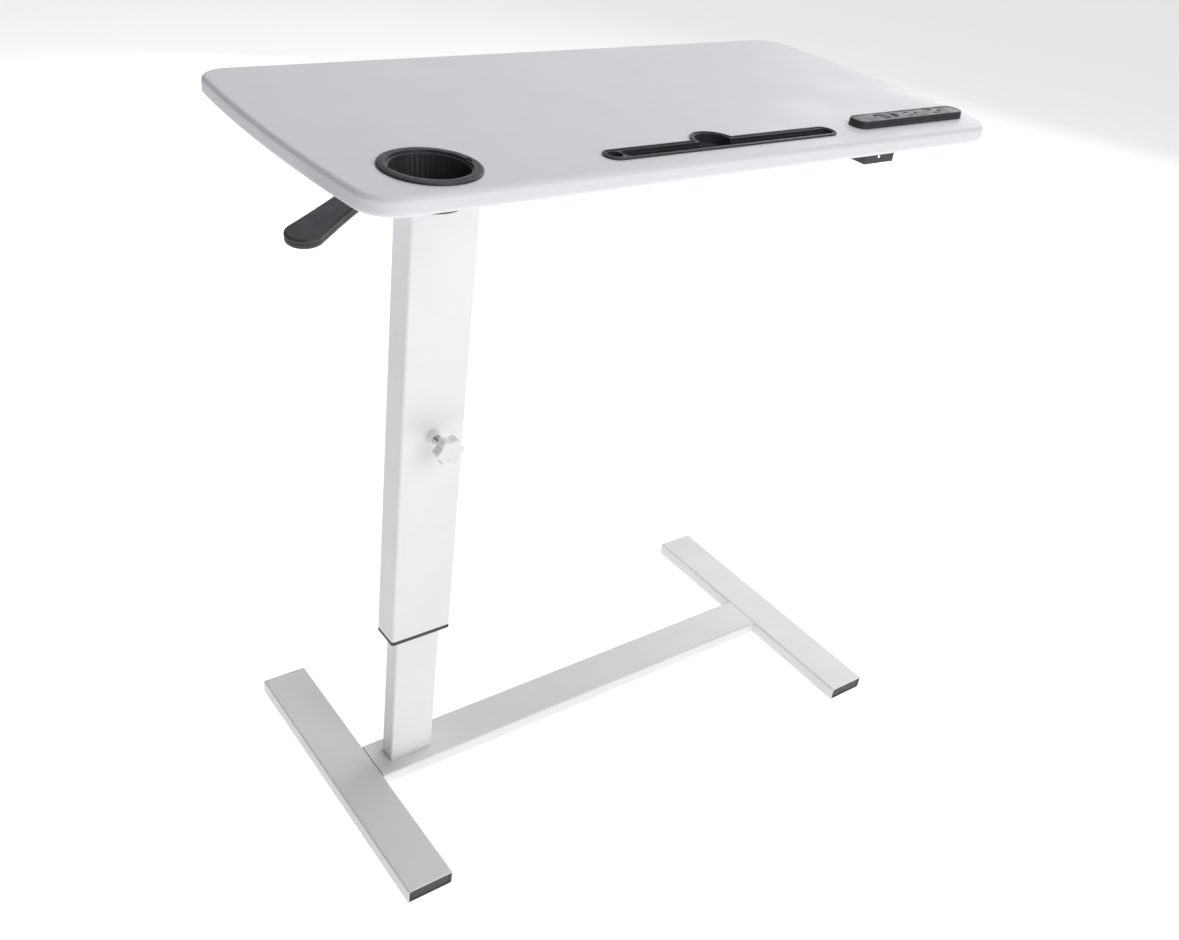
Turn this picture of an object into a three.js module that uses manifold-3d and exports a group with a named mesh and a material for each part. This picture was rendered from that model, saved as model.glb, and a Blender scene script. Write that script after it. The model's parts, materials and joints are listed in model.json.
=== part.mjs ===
// Overbed table: an H-shaped base, a telescoping column off to one side with a gas spring inside,
// and a white board with a cup holder, a tablet tray and a power strip let into its front edge.
// Millimetres, +Z up, front towards -Y. The origin is on the floor, under the middle of the whole table.
import * as THREE from 'three';
import { mergeVertices } from 'three/addons/utils/BufferGeometryUtils.js';
import Module from 'manifold-3d';

const wasm = await Module();
wasm.setup();

// Driving dimensions
const GAP = 0.3;                     // air between pieces that touch
const BASE_X = 51.8;                 // middle of the base, from the origin
const BASE_WIDTH = 772;
const FOOT_LENGTH = 408;
const TUBE_WIDTH = 60;               // feet and crossbar
const TUBE_HEIGHT = 20;
const TUBE_WALL = 1.5;
const TUBE_CORNER = 2.5;
const GLIDE_HEIGHT = 2;
const COLUMN_X = -224.2;
const INNER_WIDTH = 60;
const INNER_DEPTH = 25;
const INNER_TOP = 608;
const OUTER_WIDTH = 80;
const OUTER_DEPTH = 38;
const OUTER_BOTTOM = 226;
const BOARD_X = -5.2;
const BOARD_LENGTH = 800;
const BOARD_DEPTH = 376;
const BOARD_THICKNESS = 18;
const BOARD_TOP = 862;
const BOARD_CORNER = 35;
const BOARD_END_BOW = 10;            // how far the short ends swell out in the middle
const BOARD_EDGE = 5;                // rounding of the upper and lower edges
const PLATE_THICKNESS = 4;
const CLAMP_Z = 512;
const LEVER_TURN = 31;               // degrees from -X towards the front
const LEVER_PIVOT = 56;              // from the column's axis, along the lever
const LEVER_REACH = 246;
const CUP_X = BOARD_X - 306.5;
const CUP_Y = -129.3;
const TRAY_X = BOARD_X + 13.5;
const TRAY_Y = -150.5;
const TRAY_LENGTH = 300;
const TRAY_WIDTH = 26;
const WELL_X = TRAY_X - 8;
const WELL_Y = TRAY_Y + 9;
const STRIP_X = BOARD_X + 287;
const STRIP_Y = -144;
const STRIP_LENGTH = 172;
const STRIP_WIDTH = 26;
const STRIP_TOP = 870;

// Heights that follow from them
const TUBE_TOP = GLIDE_HEIGHT + TUBE_HEIGHT;
const TUBE_MID = GLIDE_HEIGHT + TUBE_HEIGHT / 2;
const BOARD_UNDER = BOARD_TOP - BOARD_THICKNESS;
const PLATE_UNDER = BOARD_UNDER - PLATE_THICKNESS;
const FOOT_OFFSET = (BASE_WIDTH - TUBE_WIDTH) / 2;
const BORE_WIDTH = TUBE_WIDTH - 2 * TUBE_WALL;
const BORE_HEIGHT = TUBE_HEIGHT - 2 * TUBE_WALL;
const ROUND = 24;                    // sides on a round piece
const SMALL_ROUND = 16;

const finish = (color, roughness, metalness) => ({ color, roughness, metalness });
const WHITE_COAT = finish(0xf1f1f1, 0.35, 0.1);
const WHITE_BOARD = finish(0xe9eaec, 0.55, 0);
const BLACK_PLASTIC = finish(0x2c2d31, 0.5, 0);
const WHITE_PLASTIC = finish(0xf0f0ee, 0.4, 0);
const NYLON = finish(0xd8d6cc, 0.6, 0);
const RUBBER = finish(0x202022, 0.9, 0);
const STEEL = finish(0x9a9ca0, 0.35, 0.9);
const DARK_STEEL = finish(0x55565a, 0.4, 0.9);

const table = new THREE.Group();

function piece(name, geometry, look) {
  const mesh = new THREE.Mesh(geometry, new THREE.MeshStandardMaterial(look));
  mesh.name = name;
  table.add(mesh);
  return mesh;
}

// Joining and cutting

function solid(geometry) {
  const bare = geometry.clone();
  bare.deleteAttribute('normal');
  bare.deleteAttribute('uv');
  const merged = mergeVertices(bare, 1e-4);
  const vertProperties = Float32Array.from(merged.attributes.position.array);
  const triVerts = Uint32Array.from(merged.index.array);
  return new wasm.Manifold(new wasm.Mesh({ numProp: 3, vertProperties, triVerts }));
}

function surface(manifold) {
  const mesh = manifold.getMesh();
  const geometry = new THREE.BufferGeometry();
  geometry.setAttribute('position', new THREE.BufferAttribute(mesh.vertProperties, 3));
  geometry.setIndex(new THREE.BufferAttribute(mesh.triVerts, 1));
  geometry.computeVertexNormals();
  return geometry;
}

function cut(geometry, tools) {
  return surface(tools.reduce((body, tool) => body.subtract(solid(tool)), solid(geometry)));
}

function join(geometries) {
  return surface(geometries.map(solid).reduce((body, next) => body.add(next)));
}

// Outlines and simple solids

function roundedRect(width, height, radius) {
  const x = width / 2;
  const y = height / 2;
  const shape = new THREE.Shape();
  shape.absarc(x - radius, y - radius, radius, 0, Math.PI / 2);
  shape.absarc(radius - x, y - radius, radius, Math.PI / 2, Math.PI);
  shape.absarc(radius - x, radius - y, radius, Math.PI, 1.5 * Math.PI);
  shape.absarc(x - radius, radius - y, radius, 1.5 * Math.PI, 2 * Math.PI);
  shape.closePath();
  return shape;
}

function extrude(shape, depth, curveSegments = 4) {
  return new THREE.ExtrudeGeometry(shape, { depth, bevelEnabled: false, curveSegments });
}

function softExtrude(shape, depth, edge, steps, curveSegments) {
  const geometry = new THREE.ExtrudeGeometry(shape, {
    depth: depth - 2 * edge,
    bevelSize: edge,
    bevelOffset: -edge,
    bevelThickness: edge,
    bevelSegments: steps,
    curveSegments,
  });
  return geometry.translate(0, 0, edge);
}

function tube(width, height, corner, wall, length) {
  const section = roundedRect(width, height, corner);
  section.holes.push(roundedRect(width - 2 * wall, height - 2 * wall, corner - wall / 2));
  return extrude(section, length, 3);
}

function slab(width, depth, bottom, top, corner = 1) {
  return extrude(roundedRect(width, depth, corner), top - bottom).translate(0, 0, bottom);
}

function box(width, depth, bottom, top) {
  return new THREE.BoxGeometry(width, depth, top - bottom).translate(0, 0, (bottom + top) / 2);
}

function rod(radius, bottom, top, sides = SMALL_ROUND) {
  const bar = new THREE.CylinderGeometry(radius, radius, top - bottom, sides);
  return bar.rotateX(Math.PI / 2).translate(0, 0, (bottom + top) / 2);
}

function lathe(profile, sides = ROUND) {
  const points = profile.map(([radius, height]) => new THREE.Vector2(radius, height));
  return new THREE.LatheGeometry(points, sides).rotateX(Math.PI / 2);
}

// Turned and extruded pieces are made standing along Z; these lay them along X or Y.
const layAlongX = (geometry) => geometry.rotateX(Math.PI / 2).rotateZ(Math.PI / 2);
const layAlongY = (geometry) => geometry.rotateX(-Math.PI / 2);

// A side view drawn in X and Z, given its thickness along Y
function acrossY(profile, thickness) {
  return extrude(profile, thickness).rotateX(Math.PI / 2).translate(0, thickness / 2, 0);
}

function screw(headRadius, headHeight, shankRadius, length) {
  const chamfer = 0.6;
  return lathe([
    [0, 0],
    [headRadius - chamfer, 0],
    [headRadius, chamfer],
    [headRadius, headHeight],
    [shankRadius, headHeight],
    [shankRadius, headHeight + length],
    [0, headHeight + length],
  ], SMALL_ROUND);
}

// Base: two feet, a crossbar, and flat tongues that key them together, screwed from below

const TONGUE_WIDTH = 46;
const TONGUE_THICKNESS = 6;
const TONGUE_IN_FOOT = 53;
const TONGUE_IN_BAR = 24;
const TONGUE_SCREW_IN_FOOT = 30;
const TONGUE_SCREW_IN_BAR = 12;
const TONGUE_SCREW = 2.8;
const TONGUE_SCREW_HEAD = 5.5;
const TONGUE_SCREW_HEAD_HEIGHT = 1.4;
const TONGUE_SLOT = TONGUE_THICKNESS / 2 + 1;
const CLEARANCE = 0.4;               // round a screw where it passes through sheet

function addFeet() {
  for (const [side, sign] of [['left', -1], ['right', 1]]) {
    const footX = BASE_X + sign * FOOT_OFFSET;
    const innerSide = footX - sign * TUBE_WIDTH / 2;
    const foot = tube(TUBE_WIDTH, TUBE_HEIGHT, TUBE_CORNER, TUBE_WALL, FOOT_LENGTH);
    layAlongY(foot).translate(footX, -FOOT_LENGTH / 2, TUBE_MID);
    const slot = box(4 * TUBE_WALL, TONGUE_WIDTH + 2, TUBE_MID - TONGUE_SLOT, TUBE_MID + TONGUE_SLOT);
    slot.translate(innerSide, 0, 0);
    const screwX = innerSide + sign * TONGUE_SCREW_IN_FOOT;
    const hole = rod(TONGUE_SCREW + CLEARANCE, 0, TUBE_MID - TONGUE_SLOT).translate(screwX, 0, 0);
    piece(`foot_${side}`, cut(foot, [slot, hole]), WHITE_COAT);
    addTongue(side, sign, innerSide);
    addFootEnds(side, footX);
  }
}

function addTongue(side, sign, innerSide) {
  const reach = TONGUE_IN_FOOT + TONGUE_IN_BAR;
  const middle = innerSide + sign * (TONGUE_IN_FOOT - reach / 2);
  const bottom = TUBE_MID - TONGUE_THICKNESS / 2;
  const bar = slab(reach, TONGUE_WIDTH, bottom, bottom + TONGUE_THICKNESS, 3).translate(middle, 0, 0);
  const stations = [
    ['foot', innerSide + sign * TONGUE_SCREW_IN_FOOT],
    ['bar', innerSide - sign * TONGUE_SCREW_IN_BAR],
  ];
  const threads = stations.map(([, x]) => rod(TONGUE_SCREW + GAP, 0, TUBE_TOP).translate(x, 0, 0));
  piece(`tongue_${side}`, cut(bar, threads), STEEL);
  for (const [place, x] of stations) {
    const length = TUBE_MID - TONGUE_SCREW_HEAD_HEIGHT;
    const fixing = screw(TONGUE_SCREW_HEAD, TONGUE_SCREW_HEAD_HEIGHT, TONGUE_SCREW, length);
    piece(`tongue_screw_${side}_${place}`, fixing, DARK_STEEL).position.set(x, 0, GAP);
  }
}

const CAP_DEPTH = 14;
const GLIDE_WIDTH = 50;
const GLIDE_LENGTH = 34;
const GLIDE_INSET = 26;              // middle of a glide from the end of its foot

function addFootEnds(side, footX) {
  for (const [end, sign] of [['front', -1], ['rear', 1]]) {
    const plug = roundedRect(BORE_WIDTH - 2 * GAP, BORE_HEIGHT - 2 * GAP, TUBE_WALL);
    const cap = softExtrude(plug, CAP_DEPTH, 0.5, 1, 3);
    layAlongY(cap).translate(footX, sign * (FOOT_LENGTH - CAP_DEPTH) / 2 - CAP_DEPTH / 2, TUBE_MID);
    piece(`end_cap_${side}_${end}`, cap, BLACK_PLASTIC);
    const glide = slab(GLIDE_WIDTH, GLIDE_LENGTH, 0, GLIDE_HEIGHT - GAP, 6);
    glide.translate(footX, sign * (FOOT_LENGTH / 2 - GLIDE_INSET), 0);
    piece(`glide_${side}_${end}`, glide, RUBBER);
  }
}

const COLUMN_BOLT_SPREAD = 15;       // each side of the column's axis
const COLUMN_BOLT = 4;
const BOLT_HEAD = 6.5;
const BOLT_HEAD_HEIGHT = 8;
const BOLT_WAY = BOLT_HEAD + 1.5;    // hole in the underside that lets a bolt's head through
const BOLT_LENGTH = 32;
const NUT_BLOCK_TOP = 56;

function addCrossbar() {
  const length = BASE_WIDTH - 2 * TUBE_WIDTH - 2 * GAP;
  const bar = tube(TUBE_WIDTH, TUBE_HEIGHT, TUBE_CORNER, TUBE_WALL, length);
  layAlongX(bar).translate(BASE_X - length / 2, 0, TUBE_MID);
  const holes = [];
  for (const sign of [-1, 1]) {
    const screwX = BASE_X + sign * (FOOT_OFFSET - TUBE_WIDTH / 2 - TONGUE_SCREW_IN_BAR);
    holes.push(rod(TONGUE_SCREW + CLEARANCE, 0, TUBE_MID - TONGUE_SLOT).translate(screwX, 0, 0));
    const boltX = COLUMN_X + sign * COLUMN_BOLT_SPREAD;
    holes.push(rod(BOLT_WAY, 0, TUBE_MID).translate(boltX, 0, 0));
    holes.push(rod(COLUMN_BOLT + CLEARANCE, TUBE_MID, TUBE_TOP + 1).translate(boltX, 0, 0));
  }
  piece('crossbar', cut(bar, holes), WHITE_COAT);
}

// Lower column: the inner tube, bolted up from the crossbar, with the gas spring standing in it

const SPRING_RADIUS = 9;
const SPRING_BORE = 7.5;
const SPRING_FOOT = 62;
const SPRING_TOP = 470;
const SPRING_ROD = 4;
const SPRING_STUD_BOTTOM = 44;
const PISTON_BOTTOM = 345;
const PISTON_HEIGHT = 12;
const SPRING_END = 8;                // thickness of the cylinder's two ends
const GUIDE_BOTTOM = 568;
const CLAMP_WAY = 22;                // slot in the guide that the clamp's pad rises through

function addInnerColumn() {
  const foot = TUBE_TOP + GAP;
  const shell = tube(INNER_WIDTH, INNER_DEPTH, 3, TUBE_WALL, INNER_TOP - foot);
  piece('inner_column', shell, WHITE_COAT).position.set(COLUMN_X, 0, foot);

  const blockWidth = INNER_WIDTH - 2 * TUBE_WALL - 2 * GAP;
  const blockDepth = INNER_DEPTH - 2 * TUBE_WALL - 2 * GAP;
  const threads = [-1, 1].map((sign) => (
    rod(COLUMN_BOLT + GAP, 0, NUT_BLOCK_TOP - 2).translate(sign * COLUMN_BOLT_SPREAD, 0, 0)
  ));
  threads.push(rod(SPRING_ROD + GAP, SPRING_STUD_BOTTOM - 1, NUT_BLOCK_TOP + 1));
  const block = cut(slab(blockWidth, blockDepth, foot, NUT_BLOCK_TOP, 1.8), threads);
  piece('column_nut_block', block, STEEL).position.x = COLUMN_X;

  const headBottom = TUBE_TOP - TUBE_WALL - GAP - BOLT_HEAD_HEIGHT;
  [-1, 1].forEach((sign, index) => {
    const bolt = screw(BOLT_HEAD, BOLT_HEAD_HEIGHT, COLUMN_BOLT, BOLT_LENGTH);
    const place = piece(`column_bolt_${index + 1}`, bolt, DARK_STEEL).position;
    place.set(COLUMN_X + sign * COLUMN_BOLT_SPREAD, 0, headBottom);
  });
}

function addUpperGuide() {
  const width = OUTER_WIDTH - 2 * TUBE_WALL - 2 * GAP;
  const depth = OUTER_DEPTH - 2 * TUBE_WALL - 2 * GAP;
  const collar = slab(width, depth, GUIDE_BOTTOM, INNER_TOP, 2.5);
  const bore = slab(INNER_WIDTH + 2 * GAP, INNER_DEPTH + 2 * GAP, GUIDE_BOTTOM - 1, INNER_TOP + 1, 3.2);
  const clampWay = box(CLAMP_WAY, depth, GUIDE_BOTTOM - 1, INNER_TOP + 1).translate(0, -depth / 2, 0);
  piece('upper_guide', cut(collar, [bore, clampWay]), NYLON).position.x = COLUMN_X;
}

function addGasSpring() {
  const cylinder = lathe([
    [0, SPRING_STUD_BOTTOM],
    [SPRING_ROD, SPRING_STUD_BOTTOM],
    [SPRING_ROD, SPRING_FOOT],
    [SPRING_RADIUS, SPRING_FOOT],
    [SPRING_RADIUS, SPRING_TOP],
    [SPRING_ROD + GAP, SPRING_TOP],
    [SPRING_ROD + GAP, SPRING_TOP - SPRING_END],
    [SPRING_BORE, SPRING_TOP - SPRING_END],
    [SPRING_BORE, SPRING_FOOT + SPRING_END],
    [0, SPRING_FOOT + SPRING_END],
  ]);
  piece('gas_spring_cylinder', cylinder, DARK_STEEL).position.x = COLUMN_X;
}

// Upper column: slides over the inner tube and carries the board

const ROD_TOP = 818;
const RELEASE_PIN = 2.2;
const RELEASE_PIN_TOP = 824.5;
const ROD_SEAT_BOTTOM = 800;
const ROD_SEAT_TOP = 808;
const BUSHING_LIP = 5;
const BUSHING_SLEEVE = 42;
const PIN_SOCKET = 20;               // depth of the bore that the release pin slides in
const PIN_TRAVEL_ROOM = 6;
const ROD_NUT = 7.5;
const ROD_NUT_HEIGHT = 6.5;

function leverFrame(geometry) {
  return geometry.rotateZ(Math.PI + LEVER_TURN * Math.PI / 180).translate(COLUMN_X, 0, 0);
}

function addOuterColumn() {
  const foot = OUTER_BOTTOM + BUSHING_LIP + GAP;
  const shell = tube(OUTER_WIDTH, OUTER_DEPTH, 3.5, TUBE_WALL, PLATE_UNDER - GAP - foot);
  shell.translate(COLUMN_X, 0, foot);
  const clampHole = layAlongY(rod(STUD + 2 * GAP, -OUTER_DEPTH, 0)).translate(COLUMN_X, 0, CLAMP_Z);
  const leverWay = leverFrame(box(45, 11, ROD_TOP, BOARD_UNDER).translate(37.5, 0, 0));
  piece('outer_column', cut(shell, [clampHole, leverWay]), WHITE_COAT);
}

function addLowerBushing() {
  const sleeveTop = OUTER_BOTTOM + BUSHING_LIP + BUSHING_SLEEVE;
  const lip = slab(OUTER_WIDTH, OUTER_DEPTH, OUTER_BOTTOM, OUTER_BOTTOM + BUSHING_LIP, 3.5);
  const sleeveWidth = OUTER_WIDTH - 2 * TUBE_WALL - 2 * GAP;
  const sleeveDepth = OUTER_DEPTH - 2 * TUBE_WALL - 2 * GAP;
  const sleeve = slab(sleeveWidth, sleeveDepth, OUTER_BOTTOM + 1, sleeveTop, 2.5);
  const bore = slab(INNER_WIDTH + 2 * GAP, INNER_DEPTH + 2 * GAP, OUTER_BOTTOM - 1, sleeveTop + 1, 3.2);
  const bushing = cut(join([lip, sleeve]), [bore]);
  piece('lower_bushing', bushing, BLACK_PLASTIC).position.x = COLUMN_X;
}

function addSpringRod() {
  const boreBottom = ROD_TOP - PIN_SOCKET;
  const shaft = lathe([
    [0, PISTON_BOTTOM],
    [SPRING_BORE - GAP, PISTON_BOTTOM],
    [SPRING_BORE - GAP, PISTON_BOTTOM + PISTON_HEIGHT],
    [SPRING_ROD, PISTON_BOTTOM + PISTON_HEIGHT],
    [SPRING_ROD, ROD_TOP],
    [RELEASE_PIN + GAP, ROD_TOP],
    [RELEASE_PIN + GAP, boreBottom],
    [0, boreBottom],
  ]);
  piece('gas_spring_rod', shaft, STEEL).position.x = COLUMN_X;

  const pin = rod(RELEASE_PIN, boreBottom + PIN_TRAVEL_ROOM, RELEASE_PIN_TOP);
  piece('release_pin', pin, STEEL).position.x = COLUMN_X;

  const seatWidth = OUTER_WIDTH - 2 * TUBE_WALL - 2 * GAP;
  const seatDepth = OUTER_DEPTH - 2 * TUBE_WALL - 2 * GAP;
  const seat = slab(seatWidth, seatDepth, ROD_SEAT_BOTTOM, ROD_SEAT_TOP, 2.5);
  const rodHole = rod(SPRING_ROD + GAP, ROD_SEAT_BOTTOM - 1, ROD_SEAT_TOP + 1);
  piece('rod_seat', cut(seat, [rodHole]), STEEL).position.x = COLUMN_X;

  const nutStations = [['lower', ROD_SEAT_BOTTOM - GAP - ROD_NUT_HEIGHT], ['upper', ROD_SEAT_TOP + GAP]];
  for (const [place, bottom] of nutStations) {
    const nut = rod(ROD_NUT, bottom, bottom + ROD_NUT_HEIGHT, 6);
    const thread = rod(SPRING_ROD + GAP, bottom - 1, bottom + ROD_NUT_HEIGHT + 1);
    piece(`rod_nut_${place}`, cut(nut, [thread]), DARK_STEEL).position.x = COLUMN_X;
  }
}

// Plate that joins the column to the board

const PLATE_WIDTH = 240;
const PLATE_DEPTH = 120;
const PLATE_SCREW_X = 105;
const PLATE_SCREW_Y = 45;
const PLATE_SCREW = 2.5;
const PLATE_SCREW_DEPTH = 12;
const PLATE_SCREW_HEAD = 5;
const PLATE_SCREW_HEAD_HEIGHT = 3;

function plateScrewPlaces() {
  const places = [];
  for (const x of [-PLATE_SCREW_X, PLATE_SCREW_X]) {
    for (const y of [-PLATE_SCREW_Y, PLATE_SCREW_Y]) {
      places.push([COLUMN_X + x, y]);
    }
  }
  return places;
}

function screwHoles(places, radius, bottom, top) {
  return places.map(([x, y]) => rod(radius, bottom, top, 12).translate(x, y, 0));
}

function addMountingPlate() {
  const plate = slab(PLATE_WIDTH, PLATE_DEPTH, PLATE_UNDER, BOARD_UNDER - GAP, 8).translate(COLUMN_X, 0, 0);
  const holes = screwHoles(plateScrewPlaces(), PLATE_SCREW + GAP, PLATE_UNDER - 1, BOARD_UNDER + 1);
  piece('mounting_plate', cut(plate, holes), WHITE_COAT);
  plateScrewPlaces().forEach(([x, y], index) => {
    const length = PLATE_THICKNESS + PLATE_SCREW_DEPTH;
    const fixing = screw(PLATE_SCREW_HEAD, PLATE_SCREW_HEAD_HEIGHT, PLATE_SCREW, length);
    const bottom = PLATE_UNDER - GAP - PLATE_SCREW_HEAD_HEIGHT;
    piece(`board_screw_${index + 1}`, fixing, DARK_STEEL).position.set(x, y, bottom);
  });
}

// Board

function boardOutline() {
  const half = BOARD_DEPTH / 2;
  const bowRadius = (half * half + BOARD_END_BOW * BOARD_END_BOW) / (2 * BOARD_END_BOW);
  const bowCentre = BOARD_LENGTH / 2 - bowRadius;
  const cornerY = half - BOARD_CORNER;
  const cornerX = bowCentre + Math.sqrt((bowRadius - BOARD_CORNER) ** 2 - cornerY * cornerY);
  const turn = Math.atan2(cornerY, cornerX - bowCentre);
  const quarter = Math.PI / 2;
  const shape = new THREE.Shape();
  shape.absarc(bowCentre, 0, bowRadius, -turn, turn);
  shape.absarc(cornerX, cornerY, BOARD_CORNER, turn, quarter);
  shape.absarc(-cornerX, cornerY, BOARD_CORNER, quarter, Math.PI - turn);
  shape.absarc(-bowCentre, 0, bowRadius, Math.PI - turn, Math.PI + turn);
  shape.absarc(-cornerX, -cornerY, BOARD_CORNER, Math.PI + turn, 3 * quarter);
  shape.absarc(cornerX, -cornerY, BOARD_CORNER, 3 * quarter, 4 * quarter - turn);
  shape.closePath();
  return shape;
}

function pilotHoles(places, radius, depth) {
  return screwHoles(places, radius + GAP, BOARD_UNDER - 1, BOARD_UNDER + depth + 2);
}

function addBoard() {
  const board = softExtrude(boardOutline(), BOARD_THICKNESS, BOARD_EDGE, 3, 6);
  board.translate(BOARD_X, 0, BOARD_UNDER);
  const cuts = [
    rod(CUP_WELL + GAP, BOARD_UNDER - 1, BOARD_TOP + 1, 32).translate(CUP_X, CUP_Y, 0),
    trayBody(TRAY_INSET - GAP, BOARD_UNDER - 1, BOARD_TOP + 1),
    stripBlock(STRIP_INSET - GAP, BOARD_UNDER - 1, BOARD_TOP + 1),
    ...pilotHoles(plateScrewPlaces(), PLATE_SCREW, PLATE_SCREW_DEPTH),
    ...pilotHoles(bracketScrewPlaces(), BRACKET_SCREW, BRACKET_SCREW_DEPTH),
  ];
  piece('tabletop', cut(board, cuts), WHITE_BOARD);
}

// Cup holder: a flanged ring in the board and a ribbed cup that drops into it

const CUP_FLANGE = 46;
const CUP_WELL = 40;
const CUP_MOUTH = 37;
const CUP_BOTTOM = 832;
const CUP_FLANGE_TOP = BOARD_TOP + 3;
const CUP_SEAT = CUP_MOUTH + 5;      // outside of the ledge that the cup's rim rests on
const CUP_RING_BORE = CUP_MOUTH + 1.7;
const CUP_RING_BOTTOM = BOARD_UNDER + 4;
const CUP_RIM = 1.2;
const CUP_FLOOR = 2;
const CUP_FOOT = CUP_MOUTH - 5;
const CUP_SIDES = 40;

function addCupHolder() {
  const ring = lathe([
    [CUP_RING_BORE, CUP_RING_BOTTOM],
    [CUP_WELL, CUP_RING_BOTTOM],
    [CUP_WELL, BOARD_TOP + GAP],
    [CUP_FLANGE, BOARD_TOP + GAP],
    [CUP_FLANGE, BOARD_TOP + CUP_RIM],
    [CUP_FLANGE - 1.5, CUP_FLANGE_TOP - CUP_RIM / 2],
    [CUP_SEAT, CUP_FLANGE_TOP],
    [CUP_SEAT, CUP_FLANGE_TOP - CUP_RIM - GAP],
    [CUP_RING_BORE, CUP_FLANGE_TOP - CUP_RIM - GAP],
    [CUP_RING_BORE, CUP_RING_BOTTOM],
  ], CUP_SIDES);
  piece('cup_ring', ring, BLACK_PLASTIC).position.set(CUP_X, CUP_Y, 0);

  const cup = lathe([
    [0, CUP_BOTTOM],
    [CUP_FOOT, CUP_BOTTOM],
    [CUP_FOOT + 1.5, CUP_BOTTOM + CUP_FLOOR],
    [CUP_RING_BORE - 0.5, CUP_FLANGE_TOP - CUP_RIM],
    [CUP_SEAT - 0.4, CUP_FLANGE_TOP - CUP_RIM],
    [CUP_SEAT - 0.4, CUP_FLANGE_TOP],
    [CUP_MOUTH, CUP_FLANGE_TOP],
    [CUP_MOUTH - 1, CUP_FLANGE_TOP - 3],
    [CUP_FOOT - 0.2, CUP_BOTTOM + CUP_FLOOR],
    [0, CUP_BOTTOM + CUP_FLOOR],
  ], CUP_SIDES);
  piece('cup_insert', cup, BLACK_PLASTIC).position.set(CUP_X, CUP_Y, 0);
}

// Tablet tray: a long groove, with a pen hole at its left end and a round well behind it

const TRAY_INSET = 3;
const TRAY_TOP = BOARD_TOP + 2;
const TRAY_FLOOR = BOARD_UNDER + 8;
const TRAY_BOTTOM = TRAY_FLOOR - 2;
const TRAY_CORNER = 12.5;
const WELL_RADIUS = 25;
const WELL_RIM = 6;
const GROOVE_WIDTH = 13;
const PEN_RADIUS = 7.3;
const PEN_RIM = 3;                   // left between the pen hole and the groove

function trayBody(inset, bottom, top) {
  const bar = slab(TRAY_LENGTH - 2 * inset, TRAY_WIDTH - 2 * inset, bottom, top, TRAY_CORNER - inset);
  bar.translate(TRAY_X, TRAY_Y, 0);
  const bulge = rod(WELL_RADIUS - inset, bottom, top, 32).translate(WELL_X, WELL_Y, 0);
  const front = box(TRAY_LENGTH, 2 * WELL_RADIUS, bottom - 1, top + 1);
  front.translate(TRAY_X, TRAY_Y - TRAY_WIDTH / 2 + inset - WELL_RADIUS, 0);
  return surface(solid(bar).add(solid(bulge)).subtract(solid(front)));
}

function addTray() {
  const penX = TRAY_X - TRAY_LENGTH / 2 + TRAY_WIDTH / 2 - 1;
  const grooveStart = penX + PEN_RADIUS + PEN_RIM;
  const grooveEnd = TRAY_X + TRAY_LENGTH / 2 - WELL_RIM;
  const flange = trayBody(0, BOARD_TOP + GAP, TRAY_TOP);
  const body = trayBody(TRAY_INSET, TRAY_BOTTOM, BOARD_TOP + 1);
  const groove = slab(grooveEnd - grooveStart, GROOVE_WIDTH, TRAY_FLOOR, TRAY_TOP + 1, 3);
  groove.translate((grooveStart + grooveEnd) / 2, TRAY_Y, 0);
  const well = rod(WELL_RADIUS - WELL_RIM, TRAY_FLOOR, TRAY_TOP + 1, 32).translate(WELL_X, WELL_Y, 0);
  const wellFront = box(TRAY_LENGTH, 2 * WELL_RADIUS, TRAY_FLOOR - 1, TRAY_TOP + 2);
  wellFront.translate(TRAY_X, TRAY_Y - GROOVE_WIDTH / 2 - WELL_RADIUS, 0);
  const openWell = surface(solid(well).subtract(solid(wellFront)));
  const penHole = rod(PEN_RADIUS, TRAY_FLOOR, TRAY_TOP + 1).translate(penX, TRAY_Y, 0);
  piece('tablet_tray', cut(join([flange, body]), [groove, openWell, penHole]), BLACK_PLASTIC);
}

// Power strip: a low housing on the board with a rocker switch, a charging port and two outlets

const STRIP_INSET = 4;
const STRIP_FLOOR = 850;
const STRIP_CORNER = 11;
const STRIP_EDGE = 1.5;
const ROCKER_X = STRIP_X - 42;
const ROCKER_LENGTH = 17;
const ROCKER_WIDTH = 11;
const ROCKER_PIVOT_Z = 864;
const ROCKER_REST_TILT = 6;
const PORT_X = STRIP_X - 21;
const OUTLET_X = [STRIP_X + 6, STRIP_X + 46];
const OUTLET_LENGTH = 27;
const OUTLET_WIDTH = 18;
const PORT_LENGTH = 14;
const INSERT_FLOOR = STRIP_TOP - 9;  // underside of the port and the outlets
const INSERT_TOP = STRIP_TOP - 0.4;

function stripBlock(inset, bottom, top) {
  const block = slab(STRIP_LENGTH - 2 * inset, STRIP_WIDTH - 2 * inset, bottom, top, STRIP_CORNER - inset);
  return block.translate(STRIP_X, STRIP_Y, 0);
}

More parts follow.
